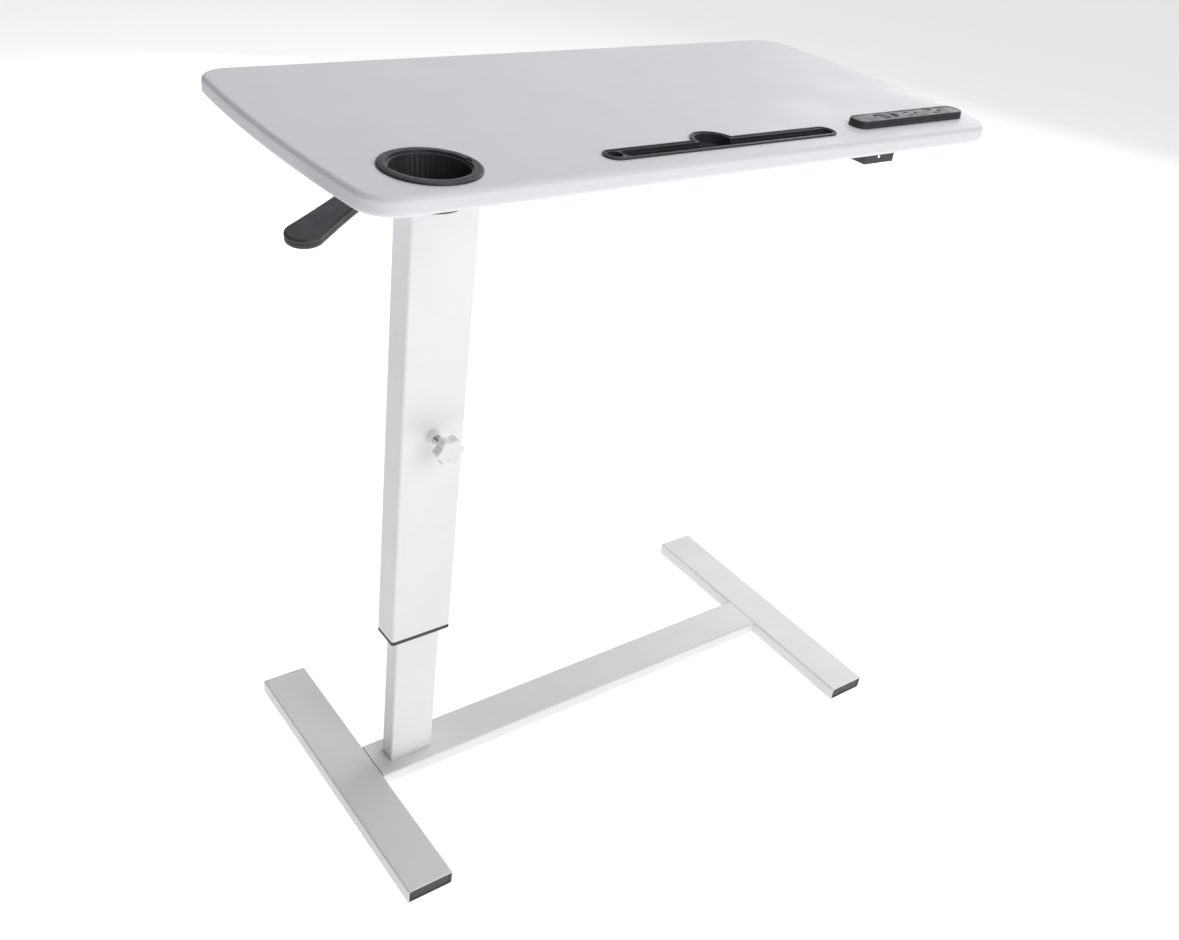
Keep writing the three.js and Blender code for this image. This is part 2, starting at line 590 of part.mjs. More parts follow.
function addPowerStrip() {
  const seat = BOARD_TOP + GAP;
  const outline = roundedRect(STRIP_LENGTH, STRIP_WIDTH, STRIP_CORNER);
  const cover = softExtrude(outline, STRIP_TOP - seat + STRIP_EDGE, STRIP_EDGE, 2, 5);
  cover.translate(STRIP_X, STRIP_Y, seat - STRIP_EDGE);
  const under = box(STRIP_LENGTH, STRIP_WIDTH, seat - 2 * STRIP_EDGE, seat).translate(STRIP_X, STRIP_Y, 0);
  const top = cut(cover, [under]);
  const body = stripBlock(STRIP_INSET, STRIP_FLOOR, BOARD_TOP + 2);
  const above = STRIP_TOP + 1;
  const pocket = (length, width, x, floor) => box(length, width, floor, above).translate(x, STRIP_Y, 0);
  const pockets = [
    pocket(ROCKER_LENGTH + 2, ROCKER_WIDTH + 1, ROCKER_X, ROCKER_PIVOT_Z - 6),
    pocket(PORT_LENGTH + 2 * GAP, ROCKER_WIDTH + 2 * GAP, PORT_X, INSERT_FLOOR - GAP),
    ...OUTLET_X.map((x) => pocket(OUTLET_LENGTH + 2 * GAP, OUTLET_WIDTH + 2 * GAP, x, INSERT_FLOOR - GAP)),
  ];
  piece('strip_housing', cut(join([top, body]), pockets), BLACK_PLASTIC);
  addRocker();
  addPort();
  OUTLET_X.forEach((x, index) => addOutlet(index + 1, x));
}

// Side view of the rocker about its pivot: a shallow vee on top and a keel underneath
function rockerProfile() {
  const half = ROCKER_LENGTH / 2 - GAP;
  const keel = -4;
  const shoulder = -2;
  const valley = 5;
  const tip = 5.8;
  const profile = new THREE.Shape();
  profile.moveTo(-half, shoulder);
  profile.lineTo(0, keel);
  profile.lineTo(half, shoulder);
  profile.lineTo(half, tip);
  profile.lineTo(0, valley);
  profile.lineTo(-half, tip);
  profile.closePath();
  return profile;
}

function addRocker() {
  const rocker = acrossY(rockerProfile(), ROCKER_WIDTH);
  rocker.rotateY(-ROCKER_REST_TILT * Math.PI / 180);
  piece('rocker_switch', rocker, BLACK_PLASTIC).position.set(ROCKER_X, STRIP_Y, ROCKER_PIVOT_Z);
}

function addPort() {
  const block = box(PORT_LENGTH, ROCKER_WIDTH, INSERT_FLOOR, INSERT_TOP);
  const mouth = box(5.6, 9.4, INSERT_FLOOR + 2, INSERT_TOP + 1);
  const tongue = box(2, 8, INSERT_FLOOR + 1, INSERT_TOP - 1.2);
  piece('charging_port', join([cut(block, [mouth]), tongue]), BLACK_PLASTIC).position.set(PORT_X, STRIP_Y, 0);
}

function addOutlet(number, x) {
  const slotFloor = INSERT_FLOOR + 2;
  const face = slab(OUTLET_LENGTH, OUTLET_WIDTH, INSERT_FLOOR, INSERT_TOP, 2);
  const blade = (side) => box(7, 2, slotFloor, INSERT_TOP + 1).translate(-4.5, side * 4.5, 0);
  const earth = rod(2.4, slotFloor, INSERT_TOP + 1).translate(7, 0, 0);
  const outlet = cut(face, [blade(-1), blade(1), earth]);
  piece(`outlet_${number}`, outlet, BLACK_PLASTIC).position.set(x, STRIP_Y, 0);
}

// Bent bracket under the board, below the power strip, that keeps the lead clear of the knees

const BRACKET_X = BOARD_X + 238;
const BRACKET_WIDTH = 46;
const BRACKET_FRONT = -160;
const BRACKET_CHEEK = 24;
const BRACKET_BACK = -117;
const BRACKET_BOTTOM = 824;
const SHEET = 1.5;
const BRACKET_SCREW = 2;
const BRACKET_SCREW_DEPTH = 10;
const BRACKET_SCREW_HEAD = 3.8;
const BRACKET_SCREW_HEAD_HEIGHT = 2.2;
const TIE_HOLE = 3;

function bracketScrewPlaces() {
  return [-13, 13].map((x) => [BRACKET_X + x, BRACKET_BACK - 8]);
}

function addStripBracket() {
  const top = BOARD_UNDER - GAP;
  const cheekX = BRACKET_WIDTH / 2 - SHEET / 2;
  const cheekY = BRACKET_FRONT + BRACKET_CHEEK / 2;
  const webDepth = BRACKET_BACK - BRACKET_FRONT;
  const web = box(BRACKET_WIDTH, webDepth, top - SHEET, top).translate(0, BRACKET_FRONT + webDepth / 2, 0);
  const front = box(BRACKET_WIDTH, SHEET, BRACKET_BOTTOM, top).translate(0, BRACKET_FRONT + SHEET / 2, 0);
  const cheeks = [-1, 1].map((sign) => (
    box(SHEET, BRACKET_CHEEK, BRACKET_BOTTOM, top).translate(sign * cheekX, cheekY, 0)
  ));
  const bent = join([web, front, ...cheeks]).translate(BRACKET_X, 0, 0);
  const tieHole = layAlongY(rod(TIE_HOLE, -TIE_HOLE, TIE_HOLE));
  tieHole.translate(BRACKET_X, BRACKET_FRONT, (BRACKET_BOTTOM + top) / 2 - 2);
  const holes = screwHoles(bracketScrewPlaces(), BRACKET_SCREW + GAP, top - 4, top + 1);
  piece('strip_bracket', cut(bent, [tieHole, ...holes]), BLACK_PLASTIC);
  bracketScrewPlaces().forEach(([x, y], index) => {
    const length = SHEET + BRACKET_SCREW_DEPTH;
    const fixing = screw(BRACKET_SCREW_HEAD, BRACKET_SCREW_HEAD_HEIGHT, BRACKET_SCREW, length);
    const bottom = top - SHEET - GAP - BRACKET_SCREW_HEAD_HEIGHT;
    piece(`bracket_screw_${index + 1}`, fixing, DARK_STEEL).position.set(x, y, bottom);
  });
}

// Release lever: a flat bar on edge that pivots outside the column and presses the release pin

const LEVER_PIVOT_Z = 830.5;
const LEVER_PIN = 3;
const PIN_PLAY = 0.2;
const LEVER_BAR = 4;
const LEVER_BAR_TOP = 837;
const LEVER_BAR_BOTTOM = 823;
const EAR_BOTTOM = 823.5;
const EAR_INSIDE = 6;
const EAR_OUTSIDE = 8.5;
const EAR_LENGTH = 18;
const PADDLE_START = 150;
const PADDLE_START_Z = 822;
const PADDLE_DROOP = 8;              // degrees
const PADDLE_THICKNESS = 9;
const BAR_IN_PADDLE = 62;

// Height of the paddle's middle at a distance from the column's axis
const paddleMid = (reach) => PADDLE_START_Z - (reach - PADDLE_START) * Math.tan(PADDLE_DROOP * Math.PI / 180);

// A round bar across the lever at its pivot
function pivotRod(radius, length) {
  return layAlongY(rod(radius, -length / 2, length / 2)).translate(LEVER_PIVOT, 0, LEVER_PIVOT_Z);
}

function addLeverBracket() {
  const top = PLATE_UNDER - GAP;
  const ears = new THREE.Shape();
  ears.moveTo(-EAR_OUTSIDE, EAR_BOTTOM);
  ears.lineTo(-EAR_INSIDE, EAR_BOTTOM);
  ears.lineTo(-EAR_INSIDE, top - SHEET);
  ears.lineTo(EAR_INSIDE, top - SHEET);
  ears.lineTo(EAR_INSIDE, EAR_BOTTOM);
  ears.lineTo(EAR_OUTSIDE, EAR_BOTTOM);
  ears.lineTo(EAR_OUTSIDE, top);
  ears.lineTo(-EAR_OUTSIDE, top);
  ears.closePath();
  const channel = layAlongX(extrude(ears, EAR_LENGTH)).translate(LEVER_PIVOT - EAR_LENGTH / 2, 0, 0);
  const pinHole = pivotRod(LEVER_PIN + PIN_PLAY, 3 * EAR_OUTSIDE);
  piece('lever_bracket', leverFrame(cut(channel, [pinHole])), STEEL);
  piece('lever_pin', leverFrame(pivotRod(LEVER_PIN, 20)), DARK_STEEL);
}

// Side view of the bar: a finger over the release pin, deep at the pivot, slim where the paddle takes it
function leverBarOutline(margin) {
  const fingerEnd = -8;
  const fingerUnder = RELEASE_PIN_TOP + 0.4;
  const pastPivot = LEVER_PIVOT + 8;
  const end = PADDLE_START + BAR_IN_PADDLE + margin;
  const half = 2.5 + margin;
  const bar = new THREE.Shape();
  bar.moveTo(fingerEnd, fingerUnder);
  bar.lineTo(12, fingerUnder);
  bar.lineTo(40, LEVER_BAR_BOTTOM);
  bar.lineTo(pastPivot, LEVER_BAR_BOTTOM);
  bar.lineTo(PADDLE_START, paddleMid(PADDLE_START) - half);
  bar.lineTo(end, paddleMid(end) - half);
  bar.lineTo(end, paddleMid(end) + half);
  bar.lineTo(PADDLE_START, paddleMid(PADDLE_START) + half);
  bar.lineTo(pastPivot, LEVER_BAR_TOP);
  bar.lineTo(fingerEnd + 4, LEVER_BAR_TOP);
  bar.lineTo(fingerEnd, LEVER_BAR_TOP - 4);
  bar.closePath();
  return bar;
}

function paddleOutline() {
  const rootHalf = 13;
  const rootCorner = 5;
  const tipHalf = 17;
  const waist = rootHalf + 0.5;
  const tipCentre = LEVER_REACH - PADDLE_START - tipHalf;
  const outline = new THREE.Shape();
  outline.moveTo(0, rootCorner - rootHalf);
  outline.quadraticCurveTo(0, -rootHalf, rootCorner, -rootHalf);
  outline.quadraticCurveTo(tipCentre / 2, -waist, tipCentre, -tipHalf);
  outline.absarc(tipCentre, 0, tipHalf, -Math.PI / 2, Math.PI / 2);
  outline.quadraticCurveTo(tipCentre / 2, waist, rootCorner, rootHalf);
  outline.quadraticCurveTo(0, rootHalf, 0, rootHalf - rootCorner);
  outline.closePath();
  return outline;
}

function addLever() {
  const bar = cut(acrossY(leverBarOutline(0), LEVER_BAR), [pivotRod(LEVER_PIN + PIN_PLAY, 3 * LEVER_BAR)]);
  piece('lever_bar', leverFrame(bar), STEEL);
  const blade = softExtrude(paddleOutline(), PADDLE_THICKNESS, 3, 3, 8);
  blade.translate(0, 0, -PADDLE_THICKNESS / 2);
  blade.rotateY(PADDLE_DROOP * Math.PI / 180).translate(PADDLE_START + 1, 0, PADDLE_START_Z);
  const slot = acrossY(leverBarOutline(GAP), LEVER_BAR + 2 * GAP);
  piece('lever_paddle', leverFrame(cut(blade, [slot])), BLACK_PLASTIC);
}

// Clamp: a star knob on a threaded stud that presses a nylon pad against the inner column

const STUD = 4;
const STUD_TIP = -15.3;
const STUD_END = -52;
const KNOB_FRONT = -58;
const KNOB_BACK = -45;
const KNOB_LOBES = 6;
const KNOB_OUTER = 17.5;
const KNOB_WAVE = 1.7;
const KNOB_HUB = 9;
const KNOB_HUB_LENGTH = 6;
const BOSS = 7.5;
const BOSS_LENGTH = 6;

function knobOutline() {
  const steps = KNOB_LOBES * 8;
  const outline = [];
  for (let step = 0; step < steps; step += 1) {
    const angle = step * 2 * Math.PI / steps;
    const radius = KNOB_OUTER - KNOB_WAVE + KNOB_WAVE * Math.cos(KNOB_LOBES * angle);
    outline.push(new THREE.Vector2(radius * Math.cos(angle), radius * Math.sin(angle)));
  }
  return new THREE.Shape(outline);
}

function addClamp() {
  const standOff = (geometry) => layAlongY(geometry).translate(COLUMN_X, 0, CLAMP_Z);
  const face = -OUTER_DEPTH / 2 - GAP;
  const thread = rod(STUD + GAP, face - BOSS_LENGTH - 1, face + 1);
  const boss = cut(rod(BOSS, face - BOSS_LENGTH, face, ROUND), [thread]);
  piece('clamp_boss', standOff(boss), WHITE_COAT);

  const pad = rod(STUD, STUD_TIP + GAP, -INNER_DEPTH / 2 - GAP);
  piece('clamp_pad', standOff(pad), NYLON);

  const stud = rod(STUD, STUD_END, STUD_TIP);
  piece('clamp_stud', standOff(stud), STEEL);

  const star = softExtrude(knobOutline(), KNOB_BACK - KNOB_FRONT, 2, 2, 1).translate(0, 0, KNOB_FRONT);
  const hub = rod(KNOB_HUB, KNOB_BACK - 1, KNOB_BACK + KNOB_HUB_LENGTH, ROUND);
  const bore = rod(STUD + GAP, STUD_END - GAP, KNOB_BACK + KNOB_HUB_LENGTH + 1);
  piece('clamp_knob', standOff(cut(join([star, hub]), [bore])), WHITE_PLASTIC);
}

addFeet();
addCrossbar();
addInnerColumn();
addUpperGuide();
addGasSpring();
addOuterColumn();
addLowerBushing();
addSpringRod();
addMountingPlate();
addBoard();
addCupHolder();
addTray();
addPowerStrip();
addStripBracket();
addLeverBracket();
addLever();
addClamp();

export default table;
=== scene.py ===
import json
import math
import bmesh
import bpy
from mathutils import Matrix, Quaternion, Vector

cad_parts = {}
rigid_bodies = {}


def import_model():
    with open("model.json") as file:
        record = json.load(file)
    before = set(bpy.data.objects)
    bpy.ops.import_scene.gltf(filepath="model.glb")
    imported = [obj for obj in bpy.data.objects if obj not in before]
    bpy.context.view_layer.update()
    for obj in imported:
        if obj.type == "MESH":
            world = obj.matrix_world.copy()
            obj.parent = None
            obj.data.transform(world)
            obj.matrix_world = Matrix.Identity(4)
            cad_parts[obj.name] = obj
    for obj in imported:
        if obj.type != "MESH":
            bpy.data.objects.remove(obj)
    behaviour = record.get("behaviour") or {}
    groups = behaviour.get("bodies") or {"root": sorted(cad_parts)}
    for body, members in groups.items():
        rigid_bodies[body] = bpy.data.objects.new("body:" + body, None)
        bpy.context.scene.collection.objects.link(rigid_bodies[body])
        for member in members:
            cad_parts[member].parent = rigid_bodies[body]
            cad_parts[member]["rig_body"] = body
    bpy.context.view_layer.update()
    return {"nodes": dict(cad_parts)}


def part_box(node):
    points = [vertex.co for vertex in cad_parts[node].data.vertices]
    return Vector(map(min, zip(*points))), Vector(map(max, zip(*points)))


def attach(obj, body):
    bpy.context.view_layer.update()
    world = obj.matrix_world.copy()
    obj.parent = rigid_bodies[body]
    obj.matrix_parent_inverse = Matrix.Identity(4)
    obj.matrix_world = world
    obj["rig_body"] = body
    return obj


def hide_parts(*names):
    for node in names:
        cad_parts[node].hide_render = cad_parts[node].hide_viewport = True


# Overbed table in white powder coat and white film-wrapped board, with black plastic fittings.
# Metres, +Z up, front towards -Y. Places come from the frame; what a user may change is in the dictionaries.
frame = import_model()
mm = 0.001


def middleOf(node):
    low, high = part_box(node)
    return (low + high) / 2


columnX = middleOf("inner_column").x
boardLow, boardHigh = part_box("tabletop")
print("frame loaded:", len(frame["nodes"]), "nodes")

# camera, floor and light

cameraSetup = {
    "place": Vector((-0.8298, -1.0007, 1.2086)),
    "heading": 40.38,      # degrees from +Y towards +X
    "downTilt": 31.95,
    "roll": 8.13,
    "lens": 37.2,
    "sensor": 36.0,
}

studio = {
    "floorSize": 60.0,
    "floorColour": (0.93, 0.935, 0.945),
    "floorGlow": 0.62,
    "worldColour": (0.98, 0.985, 1.0),
    "worldStrength": 0.16,
    # name: place, aim, size, watts
    "lamps": {
        "frontKey": ((0.4, -3.0, 2.2), (-0.1, 0.0, 0.3), 2.6, 45.0),
        "topSoft": ((0.6, 0.4, 3.4), (0.0, 0.0, 0.8), 2.8, 31.0),
        "sideSoft": ((3.0, 1.2, 1.9), (0.0, 0.0, 0.3), 2.4, 36.0),
        "backSoft": ((1.2, 2.8, 1.4), (0.0, 0.0, 0.6), 2.4, 10.0),
    },
}


def makeCamera():
    tilt = math.radians(cameraSetup["downTilt"])
    heading = math.radians(cameraSetup["heading"])
    ahead = Vector((math.sin(heading) * math.cos(tilt), math.cos(heading) * math.cos(tilt), -math.sin(tilt)))
    data = bpy.data.cameras.new("studioCamera")
    data.sensor_width = cameraSetup["sensor"]
    data.lens = cameraSetup["lens"]
    data.clip_end = 200
    camera = bpy.data.objects.new("studioCamera", data)
    bpy.context.scene.collection.objects.link(camera)
    camera.rotation_mode = "QUATERNION"
    roll = Quaternion((0, 0, 1), math.radians(cameraSetup["roll"]))
    camera.rotation_quaternion = ahead.to_track_quat("-Z", "Y") @ roll
    camera.location = cameraSetup["place"]
    bpy.context.scene.camera = camera


def makeStudio():
    world = bpy.data.worlds.new("studioWorld")
    world.use_nodes = True
    sky = world.node_tree.nodes["Background"]
    sky.inputs["Color"].default_value = (*studio["worldColour"], 1)
    sky.inputs["Strength"].default_value = studio["worldStrength"]
    bpy.context.scene.world = world
    for name, (place, aim, size, watts) in studio["lamps"].items():
        data = bpy.data.lights.new(name, "AREA")
        data.shape = "DISK"
        data.size = size
        data.energy = watts
        lamp = bpy.data.objects.new(name, data)
        bpy.context.scene.collection.objects.link(lamp)
        lamp.location = place
        lamp.rotation_euler = (Vector(aim) - Vector(place)).to_track_quat("-Z", "Y").to_euler()


def makeFloor():
    sheet = bmesh.new()
    bmesh.ops.create_grid(sheet, x_segments=2, y_segments=2, size=studio["floorSize"] / 2)
    mesh = bpy.data.meshes.new("studioFloor")
    sheet.to_mesh(mesh)
    sheet.free()
    floor = bpy.data.objects.new("studioFloor", mesh)
    bpy.context.scene.collection.objects.link(floor)
    paint = bpy.data.materials.new("paleFloor")
    paint.use_nodes = True
    shader = paint.node_tree.nodes["Principled BSDF"]
    shader.inputs["Base Color"].default_value = (*studio["floorColour"], 1)
    shader.inputs["Roughness"].default_value = 0.9
    shader.inputs["Specular IOR Level"].default_value = 0.1
    shader.inputs["Emission Color"].default_value = (1, 1, 1, 1)
    shader.inputs["Emission Strength"].default_value = studio["floorGlow"]
    mesh.materials.append(paint)


makeCamera()
makeStudio()
makeFloor()
bpy.context.scene.view_settings.view_transform = "Standard"
print("camera, floor and light made")

# finishes: every one is worked out on the surface itself

finishes = {
    "white_powder_coat": {
        "colour": (0.89, 0.89, 0.892), "second": (0.84, 0.84, 0.845), "metal": 0.0,
        "smooth": 0.30, "rough": 0.42, "mottle": 5.0, "grain": 900.0, "depth": 0.10,
        "stretch": (1, 1, 1), "coat": 0.25,
    },
    "white_board": {
        "colour": (0.80, 0.81, 0.835), "second": (0.775, 0.785, 0.81), "metal": 0.0,
        "smooth": 0.42, "rough": 0.58, "mottle": 3.0, "grain": 1500.0, "depth": 0.05,
        "stretch": (0.35, 1, 1), "coat": 0.0,
    },
    "black_plastic": {
        "colour": (0.030, 0.031, 0.036), "second": (0.046, 0.047, 0.053), "metal": 0.0,
        "smooth": 0.36, "rough": 0.55, "mottle": 28.0, "grain": 1900.0, "depth": 0.22,
        "stretch": (1, 1, 1), "coat": 0.0,
    },
    "black_coat": {
        "colour": (0.022, 0.022, 0.026), "second": (0.036, 0.036, 0.04), "metal": 0.0,
        "smooth": 0.28, "rough": 0.45, "mottle": 20.0, "grain": 1100.0, "depth": 0.16,
        "stretch": (1, 1, 1), "coat": 0.15,
    },
    "rubber": {
        "colour": (0.02, 0.02, 0.02), "second": (0.045, 0.044, 0.042), "metal": 0.0,
        "smooth": 0.72, "rough": 0.9, "mottle": 60.0, "grain": 1400.0, "depth": 0.3,
        "stretch": (1, 1, 1), "coat": 0.0,
    },
    "nylon": {
        "colour": (0.71, 0.69, 0.63), "second": (0.62, 0.6, 0.54), "metal": 0.0,
        "smooth": 0.38, "rough": 0.55, "mottle": 30.0, "grain": 800.0, "depth": 0.12,
        "stretch": (1, 1, 1), "coat": 0.0,
    },
    "white_plastic": {
        "colour": (0.88, 0.88, 0.87), "second": (0.82, 0.82, 0.81), "metal": 0.0,
        "smooth": 0.22, "rough": 0.38, "mottle": 40.0, "grain": 1300.0, "depth": 0.08,
        "stretch": (1, 1, 1), "coat": 0.2,
    },
    "zinc_steel": {
        "colour": (0.58, 0.59, 0.61), "second": (0.47, 0.47, 0.45), "metal": 1.0,
        "smooth": 0.24, "rough": 0.44, "mottle": 35.0, "grain": 700.0, "depth": 0.15,
        "stretch": (0.06, 1, 1), "coat": 0.0,
    },
    "dark_steel": {
        "colour": (0.17, 0.17, 0.18), "second": (0.1, 0.1, 0.11), "metal": 1.0,
        "smooth": 0.3, "rough": 0.5, "mottle": 45.0, "grain": 800.0, "depth": 0.15,
        "stretch": (1, 1, 0.08), "coat": 0.0,
    },
}


surface = {
    "toneFrom": 0.38,
    "toneTo": 0.74,
    "coatRoughness": 0.3,
    "reliefReach": 0.3 * mm,
}


def addNode(tree, kind, settings=None, values=None):
    item = tree.nodes.new(kind)
    for name, value in (settings or {}).items():
        setattr(item, name, value)
    for name, value in (values or {}).items():
        item.inputs[name].default_value = value
    return item


def makeFinish(name, look):
    material = bpy.data.materials.new(name)
    material.use_nodes = True
    tree = material.node_tree
    link = tree.links.new
    shader = tree.nodes["Principled BSDF"]
    shader.inputs["Metallic"].default_value = look["metal"]
    shader.inputs["Coat Weight"].default_value = look["coat"]
    shader.inputs["Coat Roughness"].default_value = surface["coatRoughness"]
    place = addNode(tree, "ShaderNodeTexCoord")

    # slow drift of tone and gloss over the whole surface
    drift = addNode(tree, "ShaderNodeTexNoise", None, {
        "Scale": look["mottle"], "Detail": 6.0, "Roughness": 0.6})
    link(place.outputs["Object"], drift.inputs["Vector"])
    tone = addNode(tree, "ShaderNodeValToRGB")
    tone.color_ramp.elements[0].position = surface["toneFrom"]
    tone.color_ramp.elements[0].color = (*look["colour"], 1)
    tone.color_ramp.elements[1].position = surface["toneTo"]
    tone.color_ramp.elements[1].color = (*look["second"], 1)
    link(drift.outputs["Fac"], tone.inputs["Fac"])
    link(tone.outputs["Color"], shader.inputs["Base Color"])

    # rubbed patches, where hands and cloths have been
    rubbed = addNode(tree, "ShaderNodeTexNoise", None, {"Scale": look["mottle"] * 4, "Detail": 3.0})
    link(place.outputs["Object"], rubbed.inputs["Vector"])
    gloss = addNode(tree, "ShaderNodeMapRange", None, {
        "From Min": 0.3, "From Max": 0.7, "To Min": look["smooth"], "To Max": look["rough"]})
    link(rubbed.outputs["Fac"], gloss.inputs["Value"])
    link(gloss.outputs["Result"], shader.inputs["Roughness"])

    # fine grain, stretched where the metal is drawn or the film has a lay
    lay = addNode(tree, "ShaderNodeMapping", None, {"Scale": look["stretch"]})
    grain = addNode(tree, "ShaderNodeTexNoise", None, {
        "Scale": look["grain"], "Detail": 2.0, "Roughness": 0.5})
    peel = addNode(tree, "ShaderNodeTexNoise", None, {"Scale": look["grain"] / 4, "Detail": 1.0})
    both = addNode(tree, "ShaderNodeMath", {"operation": "ADD"})
    relief = addNode(tree, "ShaderNodeBump", None, {
        "Strength": look["depth"], "Distance": surface["reliefReach"]})
    link(place.outputs["Object"], lay.inputs["Vector"])
    link(lay.outputs["Vector"], grain.inputs["Vector"])
    link(lay.outputs["Vector"], peel.inputs["Vector"])
    link(grain.outputs["Fac"], both.inputs[0])
    link(peel.outputs["Fac"], both.inputs[1])
    link(both.outputs["Value"], relief.inputs["Height"])
    link(relief.outputs["Normal"], shader.inputs["Normal"])
    return material


paints = {name: makeFinish(name, look) for name, look in finishes.items()}
print("finishes made:", len(paints))

# shared mesh work

softAngle = math.radians(38)


def newObject(name, mesh):
    item = bpy.data.objects.new(name, mesh)
    bpy.context.scene.collection.objects.link(item)
    return item


def objectFrom(name, shape):
    bmesh.ops.remove_doubles(shape, verts=shape.verts, dist=1e-6)
    bmesh.ops.recalc_face_normals(shape, faces=shape.faces)
    mesh = bpy.data.meshes.new(name)
    shape.to_mesh(mesh)
    shape.free()
    return newObject(name, mesh)


# takes on the result of every modifier and leaves a plain mesh
def settle(item):
    bpy.context.view_layer.update()
    graph = bpy.context.evaluated_depsgraph_get()
    mesh = bpy.data.meshes.new_from_object(item.evaluated_get(graph))
    item.modifiers.clear()
    item.data = mesh
    return item


def applyTools(item, tools, operation):
    for tool in tools:
        work = item.modifiers.new("work", "BOOLEAN")
        work.operation = operation
        work.solver = "EXACT"
        work.object = tool
    settle(item)
    for tool in tools:
        bpy.data.objects.remove(tool)
    return item


def cutAway(item, tools):
    return applyTools(item, tools, "DIFFERENCE")


def weldOn(item, others):
    return applyTools(item, others, "UNION")


# smooth shading with crisp creases, a small broken edge, then onto its body
def finishPiece(item, slotName, bodyName, replaced=(), edge=0.0, edgeSteps=2):
    mesh = item.data
    mesh.polygons.foreach_set("use_smooth", [True] * len(mesh.polygons))
    mesh.set_sharp_from_angle(angle=softAngle)
    if edge:
        rim = item.modifiers.new("brokenEdge", "BEVEL")
        rim.width = edge * mm
        rim.segments = edgeSteps
        rim.limit_method = "ANGLE"
        rim.angle_limit = softAngle
        rim.use_clamp_overlap = True
        rim.harden_normals = False
    even = item.modifiers.new("evenShade", "WEIGHTED_NORMAL")
    even.keep_sharp = True
    settle(item)
    item.data.materials.clear()
    item.data.materials.append(paints[slotName])
    if replaced:
        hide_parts(*replaced)
    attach(item, bodyName)
    return item


# ring after ring of the same outline: each step is how far it is drawn in, and its height
def loft(name, outline, steps, turn=None):
    shape = bmesh.new()
    count = len(outline)
    normals = []
    for index in range(count):
        along = outline[(index + 1) % count] - outline[index - 1]
        normals.append(Vector((along.y, -along.x)).normalized())
    rings = []
    for inset, height in steps:
        ring = []
        for point, normal in zip(outline, normals):
            spot = point - normal * inset
            place = Vector((spot.x, spot.y, height))
            ring.append(shape.verts.new(turn @ place if turn else place))
        rings.append(ring)
    for below, above in zip(rings, rings[1:]):
        for index in range(count):
            following = (index + 1) % count
            shape.faces.new((below[index], below[following], above[following], above[index]))
    shape.faces.new(list(reversed(rings[0])))
    shape.faces.new(rings[-1])
    return objectFrom(name, shape)


# insets and heights of a slab with rounded edges, for loft
def roundedSteps(bottom, top, edge, count=5):
    steps = []
    for index in range(count + 1):
        angle = math.pi / 2 * index / count
        steps.append((edge * (1 - math.sin(angle)), bottom + edge * (1 - math.cos(angle))))
    for index in range(count + 1):
        angle = math.pi / 2 * index / count
        steps.append((edge * (1 - math.cos(angle)), top - edge * (1 - math.sin(angle))))
    return steps


def arc(centreX, centreY, radius, start, end, count):
    points = []
    for index in range(count + 1):
        angle = start + (end - start) * index / count
        points.append(Vector((centreX + radius * math.cos(angle), centreY + radius * math.sin(angle))))
    return points


def circle(radius, centre=(0, 0), count=96):
    return arc(centre[0], centre[1], radius, 0, 2 * math.pi * (1 - 1 / count), count - 1)


def roundedBox(centre, width, depth, corner, count=8):
    x = width / 2 - corner
    y = depth / 2 - corner
    quarter = math.pi / 2
    points = []
    for index, (signX, signY) in enumerate(((1, 1), (-1, 1), (-1, -1), (1, -1))):
        start = quarter * index
        points += arc(centre[0] + signX * x, centre[1] + signY * y, corner, start, start + quarter, count)
    return points


# a turned shape from its half section, closed on the axis or on itself
def turned(name, section, centre, count=96, closed=False):
    shape = bmesh.new()
    rings = []
    for radius, height in section:
        if radius == 0:
            rings.append([shape.verts.new((centre[0], centre[1], height))])
            continue
        ring = []
        for index in range(count):
            angle = 2 * math.pi * index / count
            x = centre[0] + radius * math.cos(angle)
            y = centre[1] + radius * math.sin(angle)
            ring.append(shape.verts.new((x, y, height)))
        rings.append(ring)
    pairs = list(zip(rings, rings[1:]))
    if closed:
        pairs.append((rings[-1], rings[0]))
    for below, above in pairs:
        for index in range(count):
            following = (index + 1) % count
            corners = [below[index % len(below)], below[following % len(below)],
                       above[following % len(above)], above[index % len(above)]]
            faceCorners = list(dict.fromkeys(corners))
            if len(faceCorners) > 2:
                shape.faces.new(faceCorners)
    return objectFrom(name, shape)


# pieces whose shape is already right in the frame: merged, eased at the edges and shaded smooth

